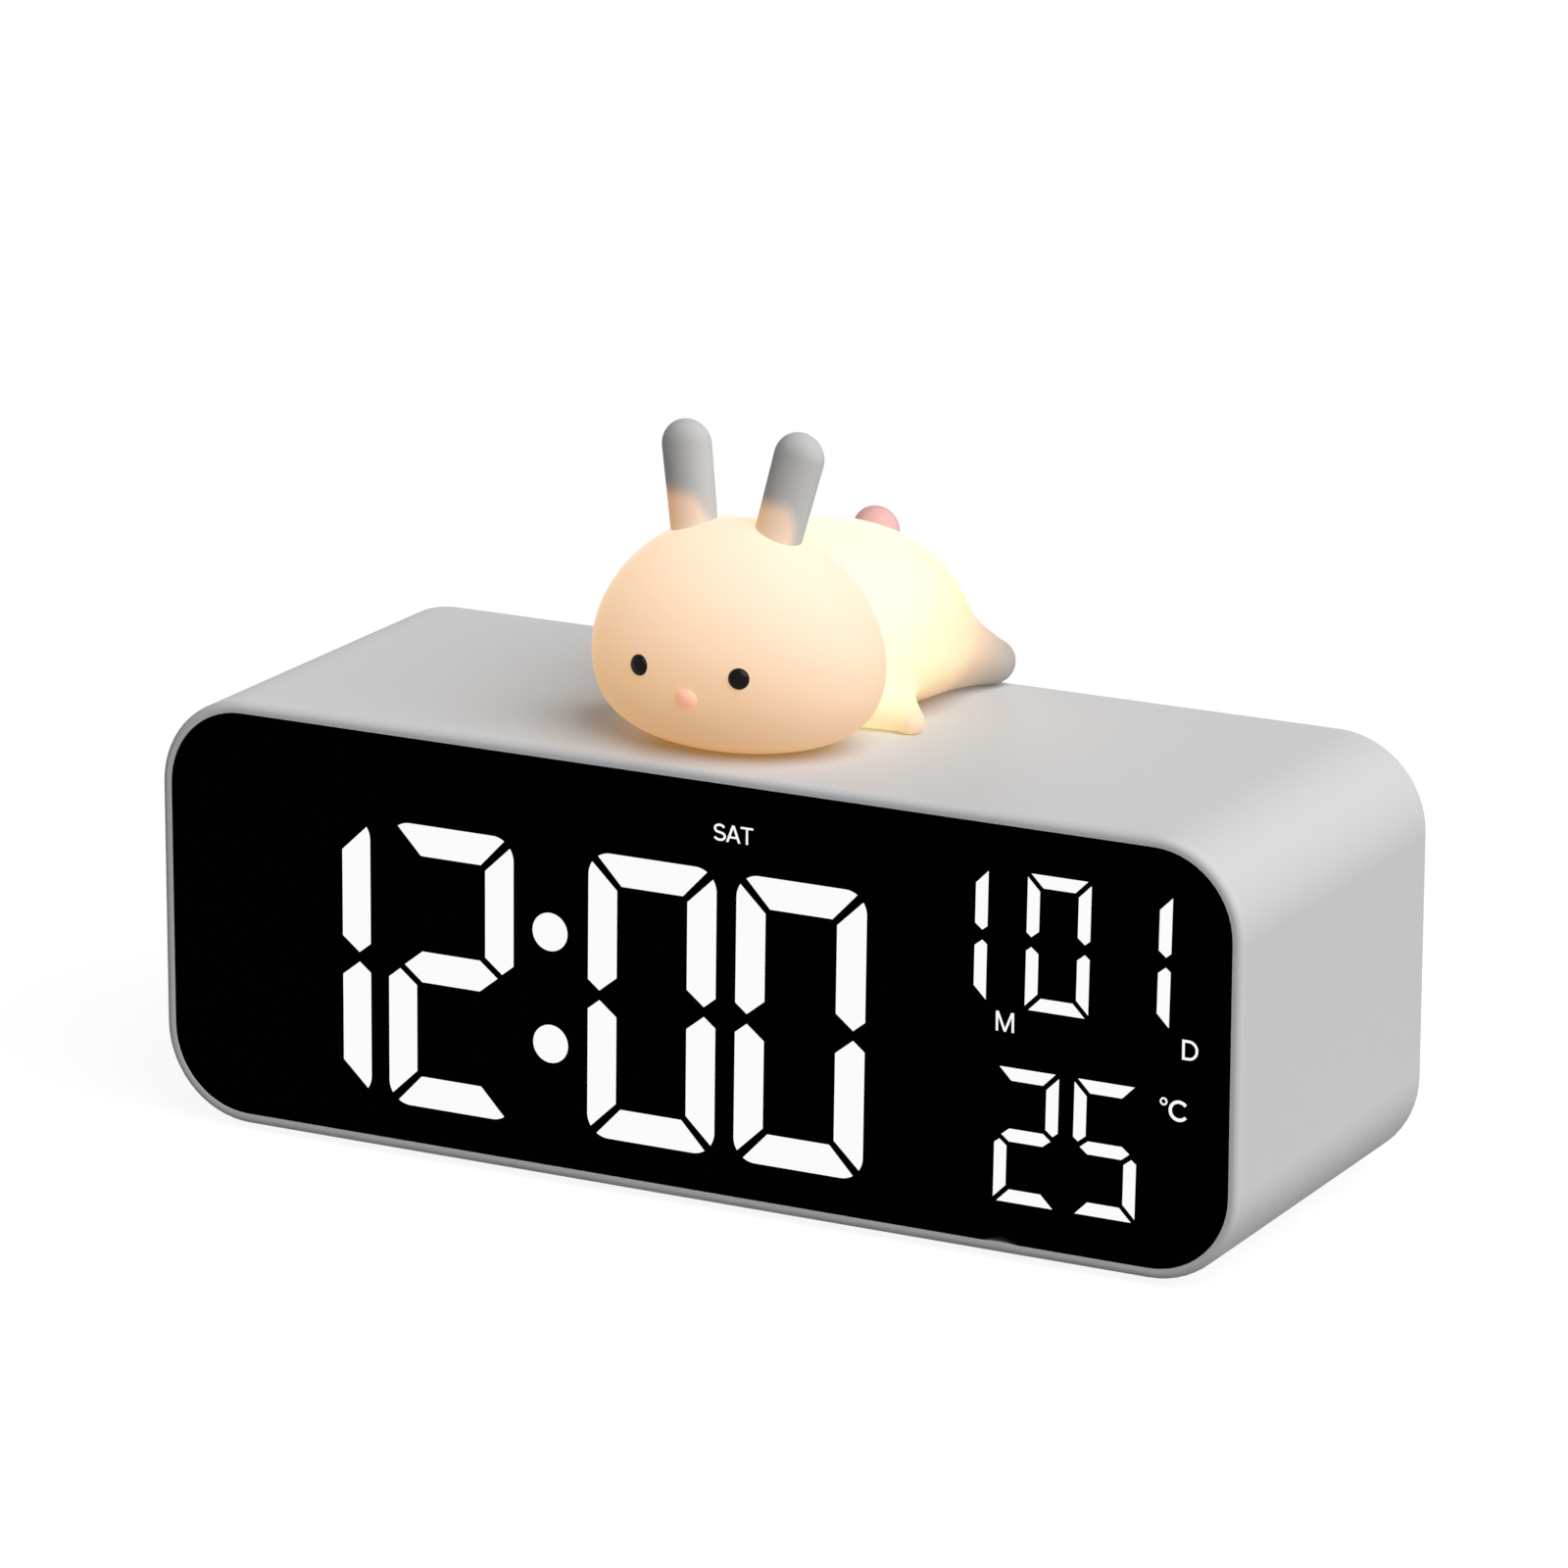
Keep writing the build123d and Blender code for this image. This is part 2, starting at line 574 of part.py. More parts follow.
cover_screws = [Pos(x, screw_seat, z) * Rot(-90, 0, 0) * cover_screw for x, z in cover_points]
export_step(Compound(cover_screws), "parts/cover_screws.step")

# Main board on its posts, with the controller chips on the face away from the buttons
main_outline = Pos(board_x, case_mid) * RectangleRounded(MAIN_BOARD_WIDTH, MAIN_BOARD_HEIGHT, 2)
for x, z in board_points:
    main_outline = main_outline - Pos(x, z) * Circle(SCREW_RADIUS + FIT_GAP)
export_step(prism(main_outline, main_front, main_back), "parts/main_board.step")
board_screws = [Pos(x, main_front, z) * Rot(90, 0, 0) * short_screw for x, z in board_points]
export_step(Compound(board_screws), "parts/board_screws.step")
main_chip = Rectangle(MAIN_CHIP_WIDTH, MAIN_CHIP_WIDTH)
power_chip = Rectangle(SMALL_CHIP_WIDTH, SMALL_CHIP_LENGTH)
sound_chip = Rectangle(SMALL_CHIP_LENGTH, SMALL_CHIP_WIDTH)
chip_drawings = [Pos(board_x + CHIP_X, case_mid + MAIN_CHIP_RAISE) * main_chip]
chip_drawings.append(Pos(board_x + CHIP_X, case_mid - POWER_CHIP_DROP) * power_chip)
chip_drawings.append(Pos(board_x - SOUND_CHIP_X, case_mid - SOUND_CHIP_DROP) * sound_chip)
controller_chips = [prism(drawing, main_front - CHIP_HEIGHT, main_front) for drawing in chip_drawings]
export_step(Compound(controller_chips), "parts/controller_chips.step")

# Push buttons: a flanged cap held behind the cover, bearing on the plunger of a switch on the main board
switch_top = main_back + SWITCH_HEIGHT
flange_front = cover_inner - BUTTON_FLANGE_THICK
plunger_sunk = 0.4 * SWITCH_HEIGHT
bore_bottom = switch_top - plunger_sunk - BUTTON_TRAVEL - FIT_GAP
switches = []
button_names = ("mode", "minus", "play", "plus", "alarm")
for x, name in zip(button_xs, button_names):
    body = prism(Pos(x, button_z) * Rectangle(SWITCH_WIDTH, SWITCH_WIDTH), main_back, switch_top)
    switches.append(body - pin(x, button_z, PLUNGER_RADIUS + FIT_GAP, bore_bottom, switch_top + 1))
    plunger = pin(x, button_z, PLUNGER_RADIUS, switch_top - plunger_sunk, flange_front)
    export_step(plunger, "parts/" + name + "_plunger.step")
    cap = pin(x, button_z, BUTTON_RADIUS, flange_front, cover_outer + BUTTON_PROUD)
    cap = fillet(cap.edges().group_by(Axis.Y)[-1], 0.6 * BUTTON_PROUD)
    cap = cap + pin(x, button_z, BUTTON_RADIUS + BUTTON_FLANGE, flange_front, cover_inner)
    export_step(cap, "parts/" + name + "_button.step")
export_step(Compound(switches), "parts/switch_bodies.step")

# Charging socket: a steel shell on the main board with a contact tongue inside
shell_drawing = RectangleRounded(SOCKET_WIDTH, SOCKET_HEIGHT, 0.49 * SOCKET_HEIGHT)
mouth_wide = SOCKET_WIDTH - 2 * SOCKET_WALL
mouth_high = SOCKET_HEIGHT - 2 * SOCKET_WALL
mouth = RectangleRounded(mouth_wide, mouth_high, 0.49 * mouth_high)
place = Pos(board_x, socket_z)
shell = prism(place * shell_drawing, main_back, main_back + SOCKET_LENGTH)
shell = shell - prism(place * mouth, main_back + 1.2, main_back + SOCKET_LENGTH + 1)
export_step(shell, "parts/socket_shell.step")
tongue = place * Rectangle(TONGUE_WIDTH, TONGUE_THICK)
export_step(prism(tongue, main_back + 1.2, main_back + SOCKET_LENGTH - 1), "parts/socket_tongue.step")

# Battery cell lying in two saddles on the floor, with the small step of its positive end
cell = Rot(0, 90, 0) * Cylinder(CELL_RADIUS - THREAD_GAP, CELL_LENGTH - 2)
cell = fillet(cell.edges(), 0.1 * CELL_RADIUS)
cell = cell + Pos(CELL_LENGTH / 2 - 1, 0, 0) * Rot(0, 90, 0) * Cylinder(0.35 * CELL_RADIUS, 2)
export_step(Pos(cell_x, CELL_Y, cell_z) * cell, "parts/battery_cell.step")

# Loudspeaker depths, counted from the inner face of the cover towards the front
flange_near = cover_inner - SPEAKER_STAND
flange_far = flange_near - SPEAKER_FLANGE_THICK
basket_floor = flange_near - BASKET_DEPTH
basket_end = basket_floor - BASKET_WALL
plate_end = basket_end - PLATE_THICK
magnet_end = plate_end - MAGNET_THICK
yoke_end = magnet_end - PLATE_THICK
former_inner = POLE_RADIUS + COIL_GAP
former_outer = former_inner + FORMER_THICK
winding_outer = former_outer + WINDING_THICK
bore_radius = winding_outer + COIL_GAP
shelf_top = basket_floor + SHELF_RAISE
spider_inner = former_outer + THREAD_GAP

gasket_outline = Circle(SPEAKER_OPENING + SURROUND_SEAT + FIT_GAP + GASKET_WIDTH)
gasket_outline = gasket_outline - Circle(SPEAKER_OPENING + SURROUND_SEAT + FIT_GAP)
gasket = prism(Pos(speaker_x, case_mid) * gasket_outline, flange_near, cover_inner)
for x, z in speaker_points:
    gasket = gasket - pin(x, z, SCREW_HEAD_RADIUS + FIT_GAP, flange_near - 1, cover_inner + 1)
export_step(gasket, "parts/speaker_gasket.step")

# Basket: a square flange on a windowed cone that carries the magnet
slant_outer = SPEAKER_OPENING + BASKET_WALL
section = [(SPEAKER_OPENING, flange_near), (slant_outer, flange_near), (slant_outer, flange_far)]
section = section + [(BASKET_FLOOR_RADIUS + BASKET_WALL, basket_end), (bore_radius, basket_end)]
section = section + [(bore_radius, basket_floor), (BASKET_FLOOR_RADIUS - SHELF_WIDTH, basket_floor)]
section = section + [(BASKET_FLOOR_RADIUS - SHELF_WIDTH, shelf_top), (BASKET_FLOOR_RADIUS, shelf_top)]
section = section + [(SPEAKER_OPENING, flange_far)]
flange = Pos(speaker_x, case_mid) * RectangleRounded(SPEAKER_FLANGE, SPEAKER_FLANGE, 5)
flange = flange - Pos(speaker_x, case_mid) * Circle(SPEAKER_OPENING)
basket = turned(section, speaker_x, case_mid) + prism(flange, flange_far, flange_near)
window_high = 0.5 * BASKET_DEPTH
window_mid = (flange_far + basket_floor) / 2 + 0.6
for turn in (0, 90):
    cut = Rot(0, turn, 0) * Box(3 * SPEAKER_OPENING, window_high, 0.5 * SPEAKER_OPENING)
    basket = basket - Pos(speaker_x, window_mid, case_mid) * cut
for x, z in speaker_points:
    basket = basket - pin(x, z, SCREW_RADIUS + FIT_GAP, flange_far - 1, flange_near + 1)
export_step(basket, "parts/speaker_basket.step")
speaker_screw_length = SPEAKER_FLANGE_THICK + SPEAKER_STAND + 0.5 * COVER_THICK
speaker_screw = screw(speaker_screw_length)
speaker_screws = [Pos(x, flange_far, z) * Rot(90, 0, 0) * speaker_screw for x, z in speaker_points]
export_step(Compound(speaker_screws), "parts/speaker_screws.step")

# Magnet, top plate and yoke leave a ring gap for the voice coil
top_plate = [(bore_radius, basket_end), (BASKET_FLOOR_RADIUS, basket_end)]
top_plate = top_plate + [(BASKET_FLOOR_RADIUS, plate_end), (bore_radius, plate_end)]
export_step(turned(top_plate, speaker_x, case_mid), "parts/speaker_top_plate.step")
magnet_bore = bore_radius + MAGNET_CLEAR
magnet = [(magnet_bore, plate_end), (MAGNET_RADIUS, plate_end)]
magnet = magnet + [(MAGNET_RADIUS, magnet_end), (magnet_bore, magnet_end)]
export_step(turned(magnet, speaker_x, case_mid), "parts/speaker_magnet.step")
yoke = [(0, basket_end), (POLE_RADIUS, basket_end), (POLE_RADIUS, magnet_end)]
yoke = yoke + [(BASKET_FLOOR_RADIUS, magnet_end), (BASKET_FLOOR_RADIUS, yoke_end), (0, yoke_end)]
export_step(turned(yoke, speaker_x, case_mid), "parts/speaker_yoke.step")

# Moving system: cone, dust cap and voice coil, hung on a rolled surround and a rippled spider
rim_top = flange_near
neck_top = basket_floor + CONE_NECK_RAISE
neck_low = neck_top - 2 * CONE_THICK
cone_neck = former_outer
cone = [(cone_neck, neck_low), (cone_neck, neck_top), (CONE_RIM_RADIUS - CONE_LIP, rim_top)]
cone = cone + [(CONE_RIM_RADIUS, rim_top), (CONE_RIM_RADIUS, rim_top - CONE_THICK)]
cone = cone + [(CONE_RIM_RADIUS - 0.8 * CONE_LIP, rim_top - CONE_THICK)]
export_step(turned(cone, speaker_x, case_mid), "parts/speaker_cone.step")
coil_low = plate_end - WINDING_DROP
winding_top = basket_end + WINDING_RISE
coil = [(former_inner, neck_top), (former_outer, neck_top), (former_outer, winding_top)]
coil = coil + [(winding_outer, winding_top), (winding_outer, coil_low), (former_inner, coil_low)]
export_step(turned(coil, speaker_x, case_mid), "parts/voice_coil.step")
cap_radius = former_outer + CAP_OVERLAP
cap_slope = (rim_top - neck_top) / (CONE_RIM_RADIUS - CONE_LIP - cone_neck)
cap_seat = neck_top + cap_slope * (cap_radius - cone_neck)
cap_high = 0.35 * cap_radius
quarter = [math.pi / 2 * i / 12 for i in range(13)]
dome = [(cap_radius * math.cos(a), cap_seat + cap_high * math.sin(a)) for a in quarter]
inner_radius = cap_radius - CONE_THICK
inner_high = cap_high - CONE_THICK
under = [(inner_radius * math.cos(a), cap_seat + inner_high * math.sin(a)) for a in reversed(quarter)]
export_step(turned(dome + under, speaker_x, case_mid), "parts/dust_cap.step")
roll_inner = CONE_RIM_RADIUS + FIT_GAP
roll_outer = SPEAKER_OPENING - FIT_GAP
roll_radius = (roll_outer - roll_inner) / 2
roll_centre = (roll_outer + roll_inner) / 2
surround_top = rim_top + SURROUND_THICK
roll = [(roll_centre - roll_radius * math.cos(a), rim_top - roll_radius * math.sin(a))
        for a in [math.pi * i / 12 for i in range(13)]]
small = roll_radius - SURROUND_THICK
trough = [(roll_centre + small * math.cos(a), surround_top - SURROUND_THICK - small * math.sin(a))
          for a in [math.pi * i / 12 for i in range(13)]]
glue_radius = CONE_RIM_RADIUS - 0.85 * CONE_LIP
surround = [(glue_radius, surround_top), (glue_radius, rim_top)] + roll
seat_radius = SPEAKER_OPENING + SURROUND_SEAT
surround = surround + [(seat_radius, rim_top), (seat_radius, surround_top)]
surround = surround + [(roll_centre + small, surround_top)] + trough + [(roll_centre - small, surround_top)]
export_step(turned(surround, speaker_x, case_mid), "parts/speaker_surround.step")
ripple = []
spider_outer = BASKET_FLOOR_RADIUS - 0.4
for i in range(25):
    share = i / 24
    wave = 0.3 * math.sin(6 * math.pi * share) * (1 if 0 < share < 0.83 else 0)
    ripple.append((spider_inner + share * (spider_outer - spider_inner), shelf_top + wave))
spider = ripple + [(radius, y + SURROUND_THICK) for radius, y in reversed(ripple)]
export_step(turned(spider, speaker_x, case_mid), "parts/speaker_spider.step")

# The two soft buns of the rabbit; they meet in an upright plane at the neck.
# Each is worked on while still round, and squeezed front to back when it is finished.
head_bun = {"y": HEAD_Y, "half_width": HEAD_HALF_WIDTH, "half_depth": HEAD_HALF_DEPTH}
head_bun.update({"widest": HEAD_WIDEST, "top": HEAD_TOP, "fullness": (0.73, 0.68, 0.42, 0.62)})
body_bun = {"y": BODY_Y, "half_width": BODY_HALF_WIDTH, "half_depth": BODY_HALF_DEPTH}
body_bun.update({"widest": BODY_WIDEST, "top": BODY_TOP, "fullness": (0.65, 0.5, 0.66, 0.66)})
broad = 4 * HEAD_HALF_WIDTH
above_case = Pos(0, 0, case_top + broad / 2) * Box(broad, broad, broad)

# Rabbit head: a hollow bun closed underneath, pulled onto the case with two barbed plugs
head_half = bun_half(head_bun, 0, case_top) - bun_half(head_bun, -SKIN, case_top + SKIN)
head = revolve(Plane.YZ * head_half, Axis.Z)
head_neck = unsqueezed(head_bun, 0, NECK_Y, 0).Y
head = head - Pos(0, head_neck + broad / 2, case_top) * Box(broad, broad, broad)
ear_low = HEAD_TOP - 2 * SKIN
ear_rise = EAR_TOP - EAR_TIP_RADIUS - ear_low
ear_out = ear_rise * math.tan(math.radians(EAR_LEAN_OUT))
ear_back = ear_rise * math.tan(math.radians(EAR_LEAN_BACK))
ear_root = unsqueezed(head_bun, EAR_X, EAR_Y, case_top + ear_low)
ear_tip = unsqueezed(head_bun, EAR_X + ear_out, EAR_Y + ear_back, case_top + ear_low + ear_rise)
ear = limb(ear_root, ear_tip, EAR_ROOT_RADIUS, EAR_TIP_RADIUS)
ear_hole = limb(ear_root, ear_tip, EAR_ROOT_RADIUS + THREAD_GAP, EAR_TIP_RADIUS + THREAD_GAP)
head = head - ear_hole - mirrored(ear_hole)
eye_z = case_top + EYE_RAISE
nose_z = case_top + NOSE_RAISE
eye_y = -math.sqrt(bun_reach(head_bun, 0, eye_z) ** 2 - EYE_X ** 2)
nose_y = -bun_reach(head_bun, 0, nose_z)
squash = HEAD_HALF_DEPTH / HEAD_HALF_WIDTH
eye = pin(EYE_X, eye_z, EYE_RADIUS, eye_y - EYE_PROUD / squash, eye_y + BEAD_SUNK / squash)
eye = fillet(eye.edges().group_by(Axis.Y)[0], 0.8 * EYE_RADIUS)
nose_outline = Pos(0, nose_z) * Ellipse(NOSE_HALF_WIDTH, NOSE_HALF_HEIGHT)
nose = prism(nose_outline, nose_y - NOSE_PROUD / squash, nose_y + BEAD_SUNK / squash)
nose = fillet(nose.edges().group_by(Axis.Y)[0], 0.8 * NOSE_HALF_HEIGHT)
eye_hole = pin(EYE_X, eye_z, EYE_RADIUS + THREAD_GAP, eye_y - broad, eye_y + BEAD_SUNK / squash)
nose_space = Pos(0, nose_z) * Ellipse(NOSE_HALF_WIDTH + THREAD_GAP, NOSE_HALF_HEIGHT + THREAD_GAP)
nose_hole = prism(nose_space, nose_y - broad, nose_y + BEAD_SUNK / squash)
head = head - eye_hole - mirrored(eye_hole) - nose_hole
barb_top = ceiling - FIT_GAP
barb_low = barb_top - PLUG_BARB_LENGTH
for x in (-PLUG_X, PLUG_X):
    stem = Ellipse(PLUG_RADIUS, PLUG_RADIUS / squash)
    head = head + Pos(x, 0, barb_low) * extrude(stem, amount=case_top + 0.5 * SKIN - barb_low)
    barb = Ellipse(PLUG_RADIUS + PLUG_BARB, (PLUG_RADIUS + PLUG_BARB) / squash)
    head = head + Pos(x, 0, barb_low) * extrude(barb, amount=PLUG_BARB_LENGTH)
export_step(squeezed(head, head_bun), "parts/rabbit_head.step")
export_step(squeezed(ear, head_bun), "parts/right_ear.step")
export_step(squeezed(mirrored(ear), head_bun), "parts/left_ear.step")
export_step(squeezed(eye, head_bun), "parts/right_eye.step")
export_step(squeezed(mirrored(eye), head_bun), "parts/left_eye.step")
export_step(squeezed(nose, head_bun), "parts/nose.step")

# Rabbit body: a hollow bun with paws and hind feet moulded on and an inward lip below
lip_reach = LIP_OPENING * BODY_HALF_WIDTH
lip_gap = Pos(lip_reach / 2, case_top) * Rectangle(lip_reach, 2 * LIP_THICK + 1)
body_half = bun_half(body_bun, 0, case_top) - bun_half(body_bun, -SKIN, case_top + LIP_THICK) - lip_gap
body = Rot(0, 0, 180) * revolve(Plane.YZ * body_half, Axis.Z)
body_neck = unsqueezed(body_bun, 0, NECK_Y, 0).Y
body = body - Pos(0, body_neck - broad / 2, case_top) * Box(broad, broad, broad)
foot_root = unsqueezed(body_bun, 0.57 * BODY_HALF_WIDTH, BODY_Y + 0.46 * BODY_HALF_DEPTH, case_top + 8)
foot_tip = unsqueezed(body_bun, 0.85 * BODY_HALF_WIDTH, BODY_Y + 1.1 * BODY_HALF_DEPTH, case_top + 4.0)
paw_root = unsqueezed(body_bun, 0.6 * BODY_HALF_WIDTH, BODY_Y - 0.35 * BODY_HALF_DEPTH, case_top + 5)
paw_tip = unsqueezed(body_bun, 0.88 * BODY_HALF_WIDTH, BODY_Y - 0.67 * BODY_HALF_DEPTH, case_top + 2.5)
hind_foot = rooted(foot_root, foot_tip, HIND_ROOT_RADIUS, HIND_TIP_RADIUS, body_bun) & above_case
front_paw = rooted(paw_root, paw_tip, PAW_ROOT_RADIUS, PAW_TIP_RADIUS, body_bun) & above_case
body = body + hind_foot + mirrored(hind_foot) + front_paw + mirrored(front_paw)
tail_spot = unsqueezed(body_bun, 0, TAIL_Y, case_top + TAIL_RAISE)
tail_place = Pos(tail_spot.X, tail_spot.Y, tail_spot.Z)
body = body - tail_place * Sphere(TAIL_RADIUS + THREAD_GAP)
export_step(squeezed(body, body_bun), "parts/rabbit_body.step")
export_step(squeezed(tail_place * Sphere(TAIL_RADIUS), body_bun), "parts/tail.step")

# Lamp: a base that clamps the body's lip to the case, a small round board and its light chips
flange_low = case_top + LIP_THICK
flange_top = flange_low + LAMP_FLANGE
flange_wide = bun_reach(body_bun, -SKIN, flange_low) - COVER_GAP
oval = BODY_HALF_DEPTH / BODY_HALF_WIDTH
step_wide = lip_reach - COVER_GAP
base = Pos(0, BODY_Y, case_top) * extrude(Ellipse(step_wide, step_wide * oval), amount=LIP_THICK)
flange_oval = Ellipse(flange_wide, flange_wide * oval)
base = base + Pos(0, BODY_Y, flange_low) * extrude(flange_oval, amount=LAMP_FLANGE)
for x, y in lamp_points:
    base = base + post(x, y, LAMP_BOSS_RADIUS, case_top + 0.5 * LIP_THICK, flange_top + LAMP_BOSS_HEIGHT)
for x, y in lamp_points:
    base = base - post(x, y, pilot, case_top - 1, flange_top + 0.5 * LAMP_BOSS_HEIGHT)
base = base - post(0, BODY_Y, 2 * WIRE_RADIUS, case_top - 1, flange_top + 1)
export_step(base, "parts/lamp_base.step")
lamp_screw_length = CASE_WALL + LIP_THICK + LAMP_FLANGE
lamp_screw = screw(lamp_screw_length)
lamp_screws = [Pos(x, y, ceiling) * Rot(180, 0, 0) * lamp_screw for x, y in lamp_points]
export_step(Compound(lamp_screws), "parts/lamp_screws.step")
lamp_board = post(0, BODY_Y, LAMP_BOARD_RADIUS, flange_top, flange_top + LAMP_BOARD_THICK)
export_step(lamp_board, "parts/lamp_board.step")
led_mid = flange_top + LAMP_BOARD_THICK + LAMP_LED_HEIGHT / 2
led_box = Box(LAMP_LED_WIDTH, LAMP_LED_WIDTH, LAMP_LED_HEIGHT)
lamp_leds = [Pos(0, BODY_Y + y, led_mid) * led_box for y in (-LAMP_LED_RING, LAMP_LED_RING)]
export_step(Compound(lamp_leds), "parts/lamp_leds.step")


def wire(points):
    """A round insulated wire along a run with rounded corners."""
    run = FilletPolyline(*points, radius=WIRE_BEND)
    section = Plane(origin=run @ 0, z_dir=run % 0) * Circle(WIRE_RADIUS)
    return sweep(section, path=run)


# Wires inside the case
tag_x = speaker_x + SPEAKER_FLANGE / 2 - 1.5
pad_x = board_left + SPEAKER_PAD_INSET
speaker_run = [(tag_x, flange_far, case_mid), (tag_x, main_front - LEAD_REACH, case_mid)]
speaker_run = speaker_run + [(pad_x, main_front - LEAD_REACH, case_mid), (pad_x, main_front, case_mid)]
export_step(wire(speaker_run), "parts/speaker_lead.step")
lead_x = cell_end + LEAD_REACH
lead_z = case_mid - MAIN_BOARD_HEIGHT / 2 + LEAD_INSET
cell_run = [(cell_end, CELL_Y, cell_z), (lead_x, CELL_Y, cell_z)]
cell_run = cell_run + [(lead_x, main_front - LEAD_REACH, lead_z), (lead_x, main_front, lead_z)]
export_step(wire(cell_run), "parts/battery_lead.step")
lamp_level = case_mid + MAIN_BOARD_HEIGHT / 2 - LEAD_INSET
lamp_pad = board_left + LAMP_PAD_INSET
lamp_run = [(0, BODY_Y, flange_top), (0, BODY_Y, lamp_level)]
lamp_run = lamp_run + [(lamp_pad, main_front - LEAD_REACH, lamp_level), (lamp_pad, main_front, lamp_level)]
export_step(wire(lamp_run), "parts/lamp_lead.step")
ribbon_x = board_x - RIBBON_SHIFT
ribbon_low = case_mid - RIBBON_DROP
ribbon_high = case_mid + RIBBON_RAISE
ribbon_run = [(ribbon_x, display_back, ribbon_low), (ribbon_x, display_back + RIBBON_STRAIGHT, ribbon_low)]
ribbon_run = ribbon_run + [(ribbon_x, main_front - RIBBON_STRAIGHT, ribbon_high)]
ribbon_run = ribbon_run + [(ribbon_x, main_front, ribbon_high)]
ribbon_path = FilletPolyline(*ribbon_run, radius=RIBBON_BEND)
ribbon_start = Plane(origin=ribbon_path @ 0, x_dir=(1, 0, 0), z_dir=(0, 1, 0))
ribbon_section = ribbon_start * Rectangle(RIBBON_WIDTH, RIBBON_THICK)
export_step(sweep(ribbon_section, path=ribbon_path), "parts/display_ribbon.step")
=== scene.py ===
# %% [markdown]
# # An alarm clock with a glowing rabbit on top
# The clock is a pale rounded box with a dark window. Numerals of white light show through the window,
# and a soft silicone rabbit lies on the box with a warm lamp inside it.
# The CAD part gives the frame: every node stays where it is, and this lesson adds what light and skin do.
# All new pieces are measured from the CAD nodes, so they follow the part's sizes.

# %% Load the frame
import json
import math

import bmesh
import bpy
import numpy as np
from mathutils import Matrix, Vector


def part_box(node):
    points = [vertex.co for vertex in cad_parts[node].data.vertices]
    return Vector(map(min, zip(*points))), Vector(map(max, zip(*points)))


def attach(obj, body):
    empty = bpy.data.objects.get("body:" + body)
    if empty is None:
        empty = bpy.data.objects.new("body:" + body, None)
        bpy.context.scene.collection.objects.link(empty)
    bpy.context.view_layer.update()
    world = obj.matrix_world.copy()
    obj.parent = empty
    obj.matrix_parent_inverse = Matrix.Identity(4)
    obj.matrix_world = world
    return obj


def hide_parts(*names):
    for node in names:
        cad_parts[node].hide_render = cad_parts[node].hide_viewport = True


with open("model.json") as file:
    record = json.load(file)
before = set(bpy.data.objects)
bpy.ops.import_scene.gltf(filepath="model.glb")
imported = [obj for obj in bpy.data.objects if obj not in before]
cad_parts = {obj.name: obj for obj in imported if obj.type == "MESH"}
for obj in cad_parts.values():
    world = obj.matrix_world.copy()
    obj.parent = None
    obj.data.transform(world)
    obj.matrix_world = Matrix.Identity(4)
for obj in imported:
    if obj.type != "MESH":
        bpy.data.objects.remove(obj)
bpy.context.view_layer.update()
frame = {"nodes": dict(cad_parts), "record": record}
nodes = frame["nodes"]
MM = 0.001

# %% [markdown]
# ## Places taken from the CAD part
# The window's box gives the plane that the numerals lie on. The top of the case is where the rabbit lies,
# and the top of its head is where the ears come out.

# %% Measure the frame
lens_low, lens_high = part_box("display_lens")
case_low, case_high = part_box("main_housing")
head_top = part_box("rabbit_head")[1].z
window_mid = (lens_low + lens_high) / 2
window_front = lens_low.y
case_top = case_high.z
print("window (mm):", [round(v / MM, 2) for v in (lens_high - lens_low)])
print("case top (mm):", round(case_top / MM, 2))

# %% [markdown]
# ## Shader sums that read like sums
# A `Value` holds one socket of a node tree. Adding or multiplying two of them makes the math node,
# so a rule such as "the glow fades with distance" is written as a plain formula.


# %% A value in a shader tree
class Value:
    def __init__(self, tree, socket):
        self.tree = tree
        self.socket = socket

    def node(self, kind, inputs, output=0, **settings):
        made = self.tree.nodes.new(kind)
        for name, setting in settings.items():
            setattr(made, name, setting)
        for key, given in inputs.items():
            if isinstance(given, Value):
                self.tree.links.new(given.socket, made.inputs[key])
            else:
                made.inputs[key].default_value = given
        return Value(self.tree, made.outputs[output])

    def math(self, operation, first, second):
        return self.node("ShaderNodeMath", {0: first, 1: second}, operation=operation)

    def __add__(self, other):
        return self.math("ADD", self, other)

    def __sub__(self, other):
        return self.math("SUBTRACT", self, other)

    def __mul__(self, other):
        return self.math("MULTIPLY", self, other)

    def __truediv__(self, other):
        return self.math("DIVIDE", self, other)

    def __pow__(self, other):
        return self.math("POWER", self, other)

    def __radd__(self, other):
        return self.math("ADD", other, self)

    def __rsub__(self, other):
        return self.math("SUBTRACT", other, self)

    def __rmul__(self, other):
        return self.math("MULTIPLY", other, self)

    def __rtruediv__(self, other):
        return self.math("DIVIDE", other, self)

    def between(self, start, end):
        """0 at start and before, 1 at end and after, with soft ends."""
        inputs = {"Value": self, "From Min": start, "From Max": end}
        return self.node("ShaderNodeMapRange", inputs, interpolation_type="SMOOTHSTEP")

    def distance(self, point):
        inputs = {0: self, 1: tuple(point)}
        return self.node("ShaderNodeVectorMath", inputs, output="Value", operation="DISTANCE")

    def ramp(self, stops):
        """Colours along the value, as pairs of place and linear colour."""
        made = self.node("ShaderNodeValToRGB", {"Fac": self}, output="Color")
        steps = made.socket.node.color_ramp.elements
        while len(steps) < len(stops):
            steps.new(0.5)
        for step, (place, colour) in zip(steps, stops):
            step.position = place
            step.color = (*colour, 1.0)
        return made


# %% [markdown]
# ## Plain materials
# Most pieces need one colour and one roughness. Colours are written as screen values from 0 to 255,
# because that is how they are read off a picture, and turned into linear light here.


